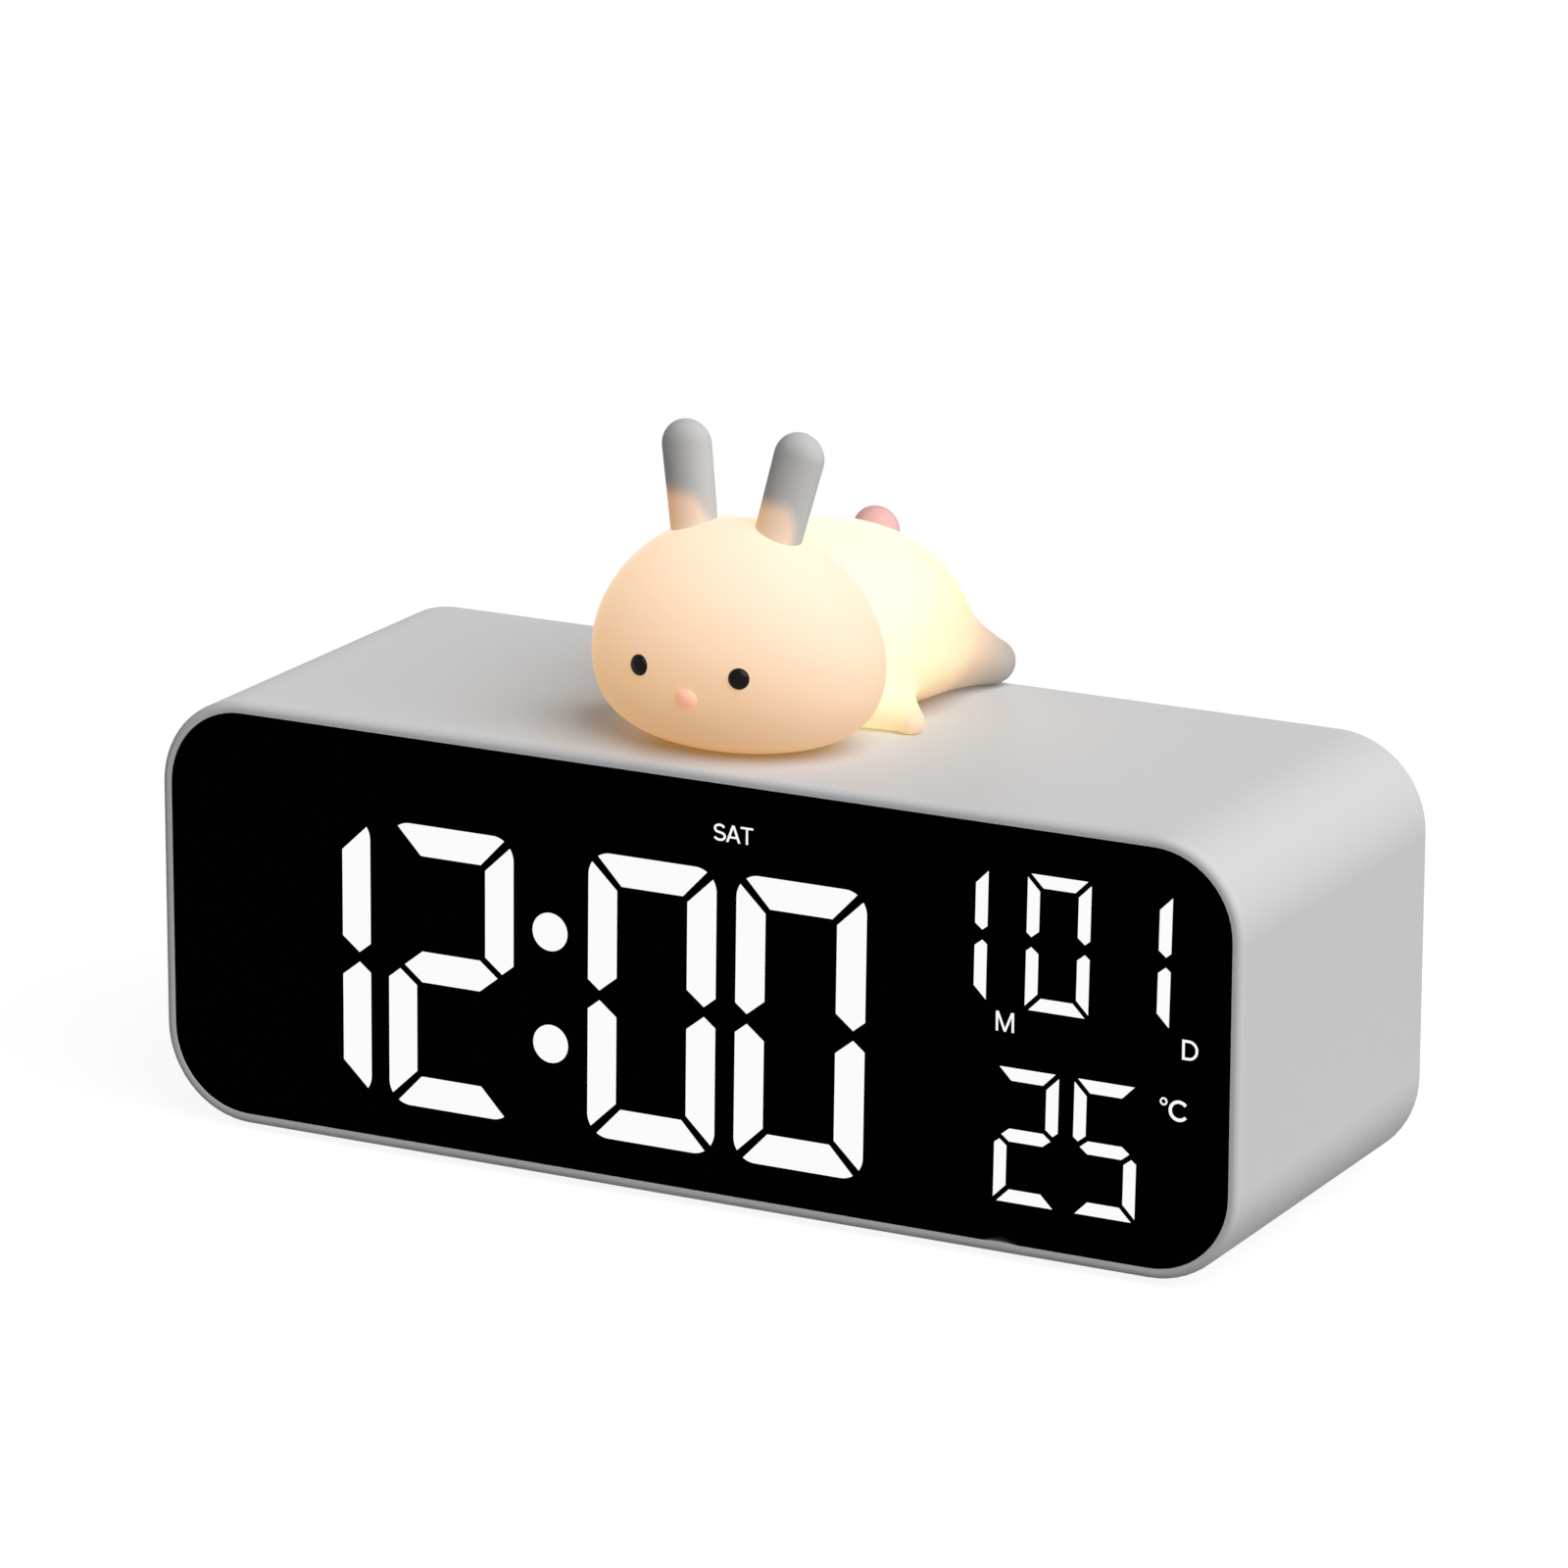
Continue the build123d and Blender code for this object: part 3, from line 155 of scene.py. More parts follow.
# %% Material helpers
def linear(*screen):
    """Linear light from screen values of 0 to 255."""
    shares = [value / 255 for value in screen]
    return tuple(s / 12.92 if s <= 0.04045 else ((s + 0.055) / 1.055) ** 2.4 for s in shares)


def material(name, colour, roughness, metallic=0.0, specular=0.5):
    """A principled material with one colour, its shader, and the value that holds a point of the object."""
    made = bpy.data.materials.new(name)
    made.use_nodes = True
    shader = made.node_tree.nodes["Principled BSDF"]
    shader.inputs["Base Color"].default_value = (*colour, 1.0)
    shader.inputs["Roughness"].default_value = roughness
    shader.inputs["Metallic"].default_value = metallic
    shader.inputs["Specular IOR Level"].default_value = specular
    place = made.node_tree.nodes.new("ShaderNodeTexCoord")
    return made, shader, Value(made.node_tree, place.outputs["Object"])


def feed(shader, name, value):
    value.tree.links.new(value.socket, shader.inputs[name])


def grain(shader, point, size, depth):
    """A fine moulded grain: noise of that size in metres, that deep in metres."""
    noise = point.node("ShaderNodeTexNoise", {"Vector": point, "Scale": 1 / size, "Detail": 2.0})
    bump = noise.node("ShaderNodeBump", {"Height": noise, "Distance": depth, "Strength": 0.6})
    feed(shader, "Normal", bump)


# %% [markdown]
# ## The case and the pieces behind it
# The case is a pale grey plastic with a fine grain. Metals, boards and wires inside the case have plain
# finishes, because only their colour shows through the openings.

# %% Plain finishes for the record's slots
finish = {}
plain = {
    "board_green": (linear(38, 92, 62), 0.45, 0.0),
    "lamp_board_white": (linear(228, 228, 226), 0.5, 0.0),
    "led_resin": (linear(240, 232, 190), 0.25, 0.0),
    "reflector_white": (linear(236, 236, 236), 0.6, 0.0),
    "diffuser_film": (linear(196, 196, 198), 0.7, 0.0),
    "cell_wrap": (linear(58, 104, 168), 0.3, 0.0),
    "magnet_ferrite": (linear(62, 62, 64), 0.7, 0.2),
    "cone_paper": (linear(48, 48, 50), 0.85, 0.0),
    "coil_copper": (linear(214, 136, 92), 0.35, 0.9),
    "wire_cover": (linear(186, 40, 34), 0.45, 0.0),
    "ribbon_grey": (linear(176, 176, 180), 0.5, 0.0),
    "screw_steel": (linear(196, 196, 198), 0.35, 0.9),
    "plunger_plastic": (linear(36, 36, 38), 0.5, 0.0),
}
for slot_name, (colour, roughness, metallic) in plain.items():
    finish[slot_name] = material(slot_name, colour, roughness, metallic)[0]
finish["dark_lens"] = material("dark_lens", (0.0, 0.0, 0.0), 0.08, specular=0.004)[0]
finish["black_bead"] = material("black_bead", linear(13, 13, 12), 0.15, specular=0.12)[0]

finish["case_plastic"], shader, point = material("case_plastic", linear(212, 212, 213), 0.5, specular=0.02)
grain(shader, point, 0.35 * MM, 0.012 * MM)
finish["button_plastic"], shader, point = material("button_plastic", linear(196, 196, 198), 0.45)
grain(shader, point, 0.3 * MM, 0.01 * MM)
finish["foot_rubber"], shader, point = material("foot_rubber", linear(70, 70, 72), 0.85, specular=0.2)
grain(shader, point, 0.5 * MM, 0.03 * MM)
print("finishes:", len(finish))

# %% [markdown]
# ## Silicone that is lit from inside
# The lamp is inside the rabbit's body. Where much light comes through, the skin glows pale yellow.
# Where the silicone is thicker, less comes through, and what is left is peach and then a faint orange.
# The ears' tips and the hind feet let no light out and stay grey.
# Each piece has a formula for the share of light at a point. One ramp turns that share into the peach of
# the head and the ears, and another into the yellow of the body.
# Part of each share is painted shade: the lower head, the body low at the back where it sits on the case, and
# the right side of each ear's root are kept darker.

# %% The glow of the rabbit
peach_glow = [
    (0.00, (0.00, 0.00, 0.00)),
    (0.20, (0.20, 0.09, 0.02)),
    (0.40, (0.45, 0.21, 0.05)),
    (0.60, (0.64, 0.36, 0.15)),
    (0.80, (0.78, 0.51, 0.30)),
    (1.00, (0.85, 0.60, 0.38)),
]
yellow_glow = [
    (0.00, (0.00, 0.00, 0.00)),
    (0.15, (0.15, 0.09, 0.03)),
    (0.30, (0.33, 0.17, 0.05)),
    (0.50, (0.55, 0.31, 0.12)),
    (0.70, (0.68, 0.52, 0.20)),
    (0.85, (0.72, 0.62, 0.28)),
    (1.00, (0.74, 0.66, 0.43)),
]
SILICONE = linear(199, 198, 197)
LIT_SILICONE = linear(168, 167, 166)
SOFT_ROUGHNESS = 0.42
SOFT_SPECULAR = 0.05
glow_middle = Vector((0.0, 4 * MM, case_top + 18 * MM))
GLOW_FULL = 15 * MM
GLOW_END = 43 * MM
# The head glows more towards the crown; the darker lower head is painted shade.
HEAD_GLOW_HEIGHT = 30 * MM
HEAD_SHARE_LOW = 0.36
HEAD_SHARE_ADDED = 0.5
# Painted shade low at the back of the body, where it sits on the case: how much darker, and up to what
# height.
PAINTED_BACK_SHADE = 0.55
PAINTED_BACK_SHADE_HEIGHT = 9 * MM
EAR_SHARE = 0.36
EAR_SUNK = 2 * MM
EAR_ROOT_X = 6.8 * MM
EAR_ROOT_Y = -16.9 * MM
EAR_LEAN_OUT = 0.2
EAR_LEAN_BACK = 0.18
EAR_GLOW_HEIGHT = 6.2 * MM
EAR_GLOW_WIDTH = 3.6 * MM
# The way across the view to the right, where each ear's root is kept dark as painted shade.
TOWARDS_PAINTED_SHADE = (0.885, 0.465)


def glowing(name, colour, share_at, colours):
    """Silicone that glows by the share of the lamp's light that comes out at a point."""
    made, shader, point = material(name, colour, SOFT_ROUGHNESS, specular=SOFT_SPECULAR)
    axes = point.node("ShaderNodeSeparateXYZ", {0: point})
    x, y, z = [Value(axes.tree, socket) for socket in axes.socket.node.outputs]
    feed(shader, "Emission Color", share_at(point, x, y, z - case_top).ramp(colours))
    shader.inputs["Emission Strength"].default_value = 1.0
    grain(shader, point, 0.25 * MM, 0.004 * MM)
    return made


def head_share(point, x, y, height):
    """More glow towards the crown; the darker lower head is painted shade."""
    above = height.math("MAXIMUM", height / HEAD_GLOW_HEIGHT, 0.0)
    return HEAD_SHARE_LOW + HEAD_SHARE_ADDED * above**0.75


def ear_share(point, x, y, height):
    """A thumb of lamp light at the root of each ear, on the side away from the key light; the other side of
    the root is kept dark as painted shade.
    """
    rise = height - (head_top - case_top - EAR_SUNK)
    axis_x = x.math("SIGN", x, 0.0) * (EAR_ROOT_X + EAR_LEAN_OUT * rise)
    axis_y = EAR_LEAN_BACK * rise + EAR_ROOT_Y
    # Painted shade: the glow ends towards the right of each root.
    side = TOWARDS_PAINTED_SHADE[0] * (x - axis_x) + TOWARDS_PAINTED_SHADE[1] * (y - axis_y)
    up = rise.math("MAXIMUM", rise / EAR_GLOW_HEIGHT, 0.0)
    across = side.math("MAXIMUM", (side + 1.0 * MM) / EAR_GLOW_WIDTH, 0.0)
    return EAR_SHARE * (1.0 - ((up**2.0 + across**2.0) ** 0.5).between(0.65, 1.15))


def body_share(point, x, y, height):
    """Less light away from the lamp, and painted shade low at the back, where the body sits on the case."""
    # Painted shade: darker near the case, at the back.
    low = (1.0 - height.between(0.0, PAINTED_BACK_SHADE_HEIGHT)) * y.between(1 * MM, 9 * MM)
    away = point.distance(glow_middle).between(GLOW_FULL, GLOW_END)
    return (1.0 - away) * (1.0 - PAINTED_BACK_SHADE * low)


head_skin = glowing("lit_head", LIT_SILICONE, head_share, peach_glow)
ear_skin = glowing("lit_ear", SILICONE, ear_share, peach_glow)
body_skin = glowing("lit_body", LIT_SILICONE, body_share, yellow_glow)
finish["white_silicone"] = head_skin
pink = linear(235, 183, 182)
finish["pink_silicone"] = material("pink_silicone", pink, SOFT_ROUGHNESS, specular=SOFT_SPECULAR)[0]
nose_pink = linear(225, 170, 162)
nose_skin, shader, point = material("lit_nose", nose_pink, SOFT_ROUGHNESS, specular=SOFT_SPECULAR)
shader.inputs["Emission Color"].default_value = (0.54, 0.25, 0.12, 1.0)
shader.inputs["Emission Strength"].default_value = 1.0

# %% Give every CAD node its finish
for entry in frame["record"]["subparts"]:
    mesh = nodes[entry["node"]].data
    mesh.materials.clear()
    mesh.materials.append(finish[entry["material_slot"]])
for ear in ("left_ear", "right_ear"):
    nodes[ear].data.materials[0] = ear_skin

# %% [markdown]
# ## Numerals of light
# Each numeral has seven bars with mitred ends. A bar is drawn as a flat outline on the window's plane,
# with the big numerals' outer corners rounded, and every numeral leans a little.
# A geometry-node group then makes every outline a thin plate.


# %% Outlines of the seven bars
WAIST_SLOPE = 0.794
WAIST_RAISE = 0.341
WAIST_GAP = 1.276
PEAK_PLACE = 0.4
CROSS_TIP = 0.57
CROSS_SHOULDER = 1.2


def bars(wide, high, stroke, corner, gap):
    """Outlines in mm of a numeral's bars by letter, with its lower left corner at zero."""
    miter = gap / math.sqrt(2)
    middle = high / 2
    inner = middle + WAIST_RAISE * stroke + WAIST_GAP * gap
    peak = inner - (1 - PEAK_PLACE) * stroke * WAIST_SLOPE
    side = peak + PEAK_PLACE * stroke * WAIST_SLOPE
    steps = [math.radians(90 + 90 * i / 24) for i in range(25)]
    arc = [(corner + corner * math.cos(a), high - corner + corner * math.sin(a)) for a in steps]
    above = [p for p in arc if p[0] - (high - p[1]) >= miter] or [(miter, high)]
    beside = [p for p in arc if (high - p[1]) - p[0] >= miter] or [(0, high - miter)]
    left_end = [(stroke + miter, high - stroke)] + above[::-1]
    top = left_end + [(wide - x, z) for x, z in left_end[::-1]]
    left = beside + [(0, side), (PEAK_PLACE * stroke, peak), (stroke, inner)]
    left = left + [(stroke, high - stroke - miter)]
    shoulder = CROSS_SHOULDER * stroke
    half = [(CROSS_TIP * stroke, middle), (shoulder, middle + stroke / 2)]
    cross = half + [(wide - x, z) for x, z in half[::-1]]
    cross = cross + [(wide - shoulder, middle - stroke / 2), (shoulder, middle - stroke / 2)]
    right = [(wide - x, z) for x, z in left]
    return {
        "a": top,
        "f": left,
        "b": right,
        "g": cross,
        "e": [(x, high - z) for x, z in left],
        "c": [(x, high - z) for x, z in right],
        "d": [(x, high - z) for x, z in top],
    }


LIT = {"0": "abcdef", "1": "bc", "2": "abged", "5": "afgcd"}
big = {"low": -25.8, "wide": 21.4, "high": 44.2, "stroke": 4.8, "corner": 3.6, "gap": 1.1}
date = {"low": 4.5, "wide": 10.1, "high": 20.5, "stroke": 1.95, "corner": 0.0, "gap": 0.8}
heat = {"low": -25.15, "wide": 10.1, "high": 20.5, "stroke": 1.95, "corner": 0.0, "gap": 0.8}
shown = [("1", -75.0, big), ("2", -50.4, big), ("0", -16.3, big), ("0", 8.4, big)]
shown = shown + [("1", 39.4, date), ("0", 55.8, date), ("1", 68.6, date)]
shown = shown + [("2", 51.0, heat), ("5", 63.6, heat)]
LEAN = 0.012
LEAN_PER_MM = 0.00009
COLON_X = -22.7
COLON_HEIGHTS = (4.9, -12.5)
COLON_RADIUS = 2.95

outlines = []
for numeral, left_edge, kind in shown:
    shapes = bars(kind["wide"], kind["high"], kind["stroke"], kind["corner"], kind["gap"])
    lean = LEAN + LEAN_PER_MM * left_edge
    for name in LIT[numeral]:
        upright = [(left_edge + x, z - kind["high"] / 2) for x, z in shapes[name]]
        outlines.append([(x + lean * z, kind["low"] + kind["high"] / 2 + z) for x, z in upright])
turns = [math.radians(360 * i / 48) for i in range(48)]
around = [(COLON_RADIUS * math.cos(a), COLON_RADIUS * math.sin(a)) for a in turns]
for height in COLON_HEIGHTS:
    outlines.append([(COLON_X + x, height + z) for x, z in around])
print("bars and dots of light:", len(outlines))


# %% Thin plates from outlines
def plate_group():
    """A node group that gives flat outlines a thickness and a material."""
    tree = bpy.data.node_groups.new("Plates", "GeometryNodeTree")
    tree.interface.new_socket("Geometry", in_out="INPUT", socket_type="NodeSocketGeometry")
    tree.interface.new_socket("Thickness", in_out="INPUT", socket_type="NodeSocketFloat")
    tree.interface.new_socket("Material", in_out="INPUT", socket_type="NodeSocketMaterial")
    tree.interface.new_socket("Geometry", in_out="OUTPUT", socket_type="NodeSocketGeometry")
    start = tree.nodes.new("NodeGroupInput")
    end = tree.nodes.new("NodeGroupOutput")
    raised = tree.nodes.new("GeometryNodeExtrudeMesh")
    raised.inputs["Individual"].default_value = False
    under = tree.nodes.new("GeometryNodeFlipFaces")
    joined = tree.nodes.new("GeometryNodeJoinGeometry")
    welded = tree.nodes.new("GeometryNodeMergeByDistance")
    welded.inputs["Distance"].default_value = 1e-7
    real = tree.nodes.new("GeometryNodeRealizeInstances")
    painted = tree.nodes.new("GeometryNodeSetMaterial")
    link = tree.links.new
    link(start.outputs["Geometry"], raised.inputs["Mesh"])
    link(start.outputs["Thickness"], raised.inputs["Offset Scale"])
    link(start.outputs["Geometry"], under.inputs["Mesh"])
    link(raised.outputs["Mesh"], joined.inputs["Geometry"])
    link(under.outputs["Mesh"], joined.inputs["Geometry"])
    link(joined.outputs["Geometry"], welded.inputs["Geometry"])
    link(welded.outputs["Geometry"], real.inputs["Geometry"])
    link(real.outputs["Geometry"], painted.inputs["Geometry"])
    link(start.outputs["Material"], painted.inputs["Material"])
    link(painted.outputs["Geometry"], end.inputs["Geometry"])
    return tree


def add(name, mesh):
    made = bpy.data.objects.new(name, mesh)
    bpy.context.scene.collection.objects.link(made)
    return made


def through(obj, tree, settings):
    """Run an object through a node group with settings by name, and keep the result as a plain mesh."""
    modifier = obj.modifiers.new(tree.name, "NODES")
    modifier.node_group = tree
    for item in tree.interface.items_tree:
        if item.in_out == "INPUT" and item.name in settings:
            modifier[item.identifier] = settings[item.name]
    depsgraph = bpy.context.evaluated_depsgraph_get()
    result = bpy.data.meshes.new_from_object(obj.evaluated_get(depsgraph))
    obj.modifiers.remove(modifier)
    obj.data = result
    return obj


PLATE_LIFT = 0.01 * MM
PLATE_THICK = 0.08 * MM
light_white = bpy.data.materials.new("numeral_light")
light_white.use_nodes = True
shader = light_white.node_tree.nodes["Principled BSDF"]
shader.inputs["Base Color"].default_value = (0.0, 0.0, 0.0, 1.0)
shader.inputs["Specular IOR Level"].default_value = 0.0
shader.inputs["Emission Color"].default_value = (0.96, 0.96, 0.96, 1.0)
shader.inputs["Emission Strength"].default_value = 1.0

points = []
faces = []
for outline in outlines:
    signed = sum(p[0] * q[1] - q[0] * p[1] for p, q in zip(outline, outline[1:] + outline[:1]))
    ordered = outline if signed > 0 else outline[::-1]
    faces.append(range(len(points), len(points) + len(ordered)))
    points += [(x * MM, window_front - PLATE_LIFT, window_mid.z + z * MM) for x, z in ordered]
flat = bpy.data.meshes.new("numerals")
flat.from_pydata(points, [], faces)
plates = plate_group()
plate_settings = {"Thickness": PLATE_THICK, "Material": light_white}
numerals = through(add("numerals", flat), plates, plate_settings)
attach(numerals, "clock")
print("numeral plates:", len(numerals.data.polygons), "faces")


# %% [markdown]
# ## Small signs
# The weekday, the month and day marks and the degree sign are plain letters of even strokes.
# Each letter is a list of closed outlines in mm, and a flat curve fills them and leaves its holes open.


# %% Outlines of the letters
def arc_line(x, z, reach_x, reach_z, start, end):
    """Points along an oval arc, from one angle to another in degrees."""
    steps = [math.radians(start + (end - start) * i / 24) for i in range(25)]
    return [(x + reach_x * math.cos(a), z + reach_z * math.sin(a)) for a in steps]


def ring(x, z, radius, stroke):
    inner = radius - stroke
    return [arc_line(x, z, radius, radius, 0, 345), arc_line(x, z, inner, inner, 0, 345)]


def ribbon(line, stroke):
    """The outline of an even stroke along a line."""
    left, right = [], []
    for i, (x, z) in enumerate(line):
        before, after = line[max(i - 1, 0)], line[min(i + 1, len(line) - 1)]
        along = math.hypot(after[0] - before[0], after[1] - before[1])
        across_x = (before[1] - after[1]) / along * stroke / 2
        across_z = (after[0] - before[0]) / along * stroke / 2
        left.append((x + across_x, z + across_z))
        right.append((x - across_x, z - across_z))
    return [left + right[::-1]]


def letter_t(w, h, t):
    half = [(w / 2 + t / 2, 0), (w / 2 + t / 2, h - t), (w, h - t), (w, h)]
    return [half + [(w - x, z) for x, z in half[::-1]]]


def letter_a(w, h, t):
    peak = h - 1.3 * t
    bar_low, bar_high = 0.24 * h, 0.24 * h + 0.85 * t
    inner = [1.1 * t + (w / 2 - 1.1 * t) * z / peak for z in (bar_low, bar_high)]
    left = [(w / 2 - 0.6 * t, h), (0, 0), (1.1 * t, 0), (inner[0], bar_low)]
    hole = [(inner[1], bar_high), (w - inner[1], bar_high), (w / 2, peak)]
    return [left + [(w - x, z) for x, z in left[::-1]], hole]


def letter_m(w, h, t):
    left = [(w / 2, 1.5 * t), (1.3 * t, h), (0, h), (0, 0), (t, 0)]
    left = left + [(t, h - 1.9 * t), (w / 2 - 0.45 * t, 0)]
    return [left + [(w - x, z) for x, z in left[:0:-1]]]


def letter_d(w, h, t):
    outer = [(0, h), (0, 0)] + arc_line(0.42 * w, h / 2, 0.58 * w, h / 2, -90, 90)
    hole = [(t, h - t), (t, t)] + arc_line(0.42 * w, h / 2, 0.58 * w - t, h / 2 - t, -90, 90)
    return [outer, hole]


def letter_c(w, h, t):
    reach = (w - t / 2) / 1.74
    return ribbon(arc_line(reach + t / 2, h / 2, reach - t / 4, (h - t) / 2, 40, 320), t)


def letter_s(w, h, t):
    bowl = (h - t) / 4
    upper = arc_line(w / 2, h - t / 2 - bowl, 0.46 * w - t / 2, bowl, 20, 235)
    lower = arc_line(w / 2, t / 2 + bowl, 0.5 * w - t / 2, bowl, 55, -160)
    return ribbon(upper + lower, t)


# %% Letters of light
def sign(name, outlines, x, z):
    """A flat sign on the window, with its lower left corner at a place from the window's middle."""
    curve = bpy.data.curves.new(name, "CURVE")
    curve.dimensions = "2D"
    curve.fill_mode = "BOTH"
    for outline in outlines:
        spline = curve.splines.new("POLY")
        spline.points.add(len(outline) - 1)
        spline.use_cyclic_u = True
        for spot, (across, up) in zip(spline.points, outline):
            spot.co = (x + across, z + up, 0.0, 1.0)
    drawn = add("drawn_" + name, curve)
    depsgraph = bpy.context.evaluated_depsgraph_get()
    mesh = bpy.data.meshes.new_from_object(drawn.evaluated_get(depsgraph))
    bpy.data.objects.remove(drawn)
    for v in mesh.vertices:
        v.co = (v.co.x * MM, window_front - PLATE_LIFT, window_mid.z + v.co.y * MM)
    letters = through(add(name, mesh), plates, plate_settings)
    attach(letters, "clock")
    print(name, len(letters.data.polygons), "faces")


def moved(outlines, x, z):
    return [[(x + across, z + up) for across, up in outline] for outline in outlines]


day_high, day_stroke = 2.6, 0.33
weekday = letter_s(2.05, day_high, day_stroke)
weekday = weekday + moved(letter_a(2.35, day_high, day_stroke), 2.1, 0)
weekday = weekday + moved(letter_t(2.05, day_high, day_stroke), 4.5, 0)
sign("weekday_sign", weekday, 4.8, 22.92)
sign("month_sign", letter_m(2.89, 2.97, 0.34), 51.05, 0.65)
sign("day_sign", letter_d(2.5, 3.0, 0.38), 80.7, 0.7)
degree = ring(0.6, 2.6, 0.6, 0.25) + moved(letter_c(2.85, 3.2, 0.48), 1.3, -0.12)
sign("degree_sign", degree, 77.3, -8.6)

# %% [markdown]
# ## The rabbit in two soft skins
# The CAD head and body are buns with limbs and pockets. Real silicone flows from one form into the next.
# The same buns and limbs are written here as distance fields. A smooth union lets them melt together,
# and a surface net turns the zero level into an even mesh.


# %% Fields of the buns
SOLE_DIP = -0.6
PROBE = 0.3
LEAST_SLOPE = 0.03
OVER_CROWN = 8.0


def bun(middle_y, half_width, half_depth, widest, top, fullness, count=200):
    """A bun as an oval plan in mm, and its half outline.

    The outline is a list of heights in mm above the case, and of shares of the half width at them.
    """
    sole, hip, shoulder, crown = fullness
    low = SOLE_DIP
    t = np.linspace(0, 1, count)[:, None]
    weights = np.concatenate([(1 - t) ** 3, 3 * (1 - t) ** 2 * t, 3 * (1 - t) * t**2, t**3], 1)
    lower = np.array([(0, low), (sole, low), (1, widest - hip * (widest - low)), (1, widest)])
    upper = np.array([(1, widest), (1, widest + shoulder * (top - widest)), (crown, top), (0, top)])
    line = np.concatenate([weights @ lower, (weights @ upper)[1:]])
    plan = (middle_y, half_width, half_depth)
    return {"plan": plan, "heights": line[:, 1], "shares": line[:, 0]}


head_bun = bun(-16.0, 23.1, 16.2, 13.0, 33.75, (0.73, 0.68, 0.42, 0.62))
body_bun = bun(11.3, 23.0, 17.0, 9.4, 27.4, (0.65, 0.5, 0.66, 0.66))


def bun_field(p, shape):
    """About the distance in mm from a bun, below zero inside, and the way out of it."""
    middle_y, half_width, half_depth = shape["plan"]

    def share(q):
        reach = np.interp(q[:, 2], shape["heights"], shape["shares"])
        out = np.hypot(q[:, 0] / half_width, (q[:, 1] - middle_y) / half_depth)
        over = np.clip(q[:, 2] - shape["heights"][-1], 0, None) / OVER_CROWN
        return out - reach + over

    slope = np.stack([(share(p + s) - share(p - s)) / (2 * PROBE) for s in PROBE * np.eye(3)], 1)
    steep = np.maximum(np.linalg.norm(slope, axis=1), LEAST_SLOPE)
    return share(p) / steep, slope / steep[:, None]


# %% Fields of the limbs, and the rabbit's two forms
def limb_field(p, root, tip, root_radius, tip_radius):
    """Distance in mm from a round limb that tapers from its root to its tip."""
    root, tip = np.array(root), np.array(tip)
    along = np.clip(((p - root) @ (tip - root)) / ((tip - root) @ (tip - root)), 0, 1)
    nearest = root + along[:, None] * (tip - root)
    return np.linalg.norm(p - nearest, axis=1) - (root_radius + along * (tip_radius - root_radius))


def melt(first, second, width):
    """Smooth union of two fields over a width in mm."""
    share = np.clip(0.5 + 0.5 * (second - first) / width, 0, 1)
    return second + (first - second) * share - width * share * (1 - share)


HEAD_NECK = -2.65
BODY_NECK = -2.55
NECK_ROUND = 1.0
SOLE_REACH = 20
SOLE_SHARE = 0.6
SOLE_THICK = 1.2
SOLE_MELT = 1.0
HIND_MELT = 5.0
WRIST_MELT = 1.5
PAW_MELT = 2.5
hind_foot = {"root": (13.2, 18.4, 9.0), "tip": (19.3, 29.7, 3.8), "root_radius": 7.6, "tip_radius": 3.5}
front_paw = {"root": (13.4, 1.2, 3.8), "tip": (20.6, -0.5, 1.7), "root_radius": 4.9, "tip_radius": 1.7}
front_wrist = {"root": (16.8, 3.0, 6.0), "tip": (21.0, -0.5, 1.65), "root_radius": 1.8, "tip_radius": 1.65}


def head_field(p):
    """The head: a bun cut upright at the neck, with a soft edge there, and flat on the case."""
    neck = p[:, 1] - HEAD_NECK
    whole = -melt(-bun_field(p, head_bun)[0], -neck, NECK_ROUND)
    return np.maximum(whole, -p[:, 2])


def body_field(p):
    """The body: a bun on a thin sole, cut at the neck, with a paw and a hind foot on each side."""
    both_sides = np.stack([np.abs(p[:, 0]), p[:, 1], p[:, 2]], 1)
    hind = limb_field(both_sides, **hind_foot)
    paw = melt(limb_field(both_sides, **front_paw), limb_field(both_sides, **front_wrist), WRIST_MELT)
    middle_y, half_width, half_depth = body_bun["plan"]
    out = np.hypot(p[:, 0] / half_width, (p[:, 1] - middle_y) / half_depth)
    sole = np.maximum(SOLE_REACH * (out - SOLE_SHARE), p[:, 2] - SOLE_THICK)
    trunk = np.maximum(melt(bun_field(p, body_bun)[0], sole, SOLE_MELT), BODY_NECK - p[:, 1])
    whole = melt(melt(trunk, hind, HIND_MELT), paw, PAW_MELT)
    return np.maximum(whole, -p[:, 2])


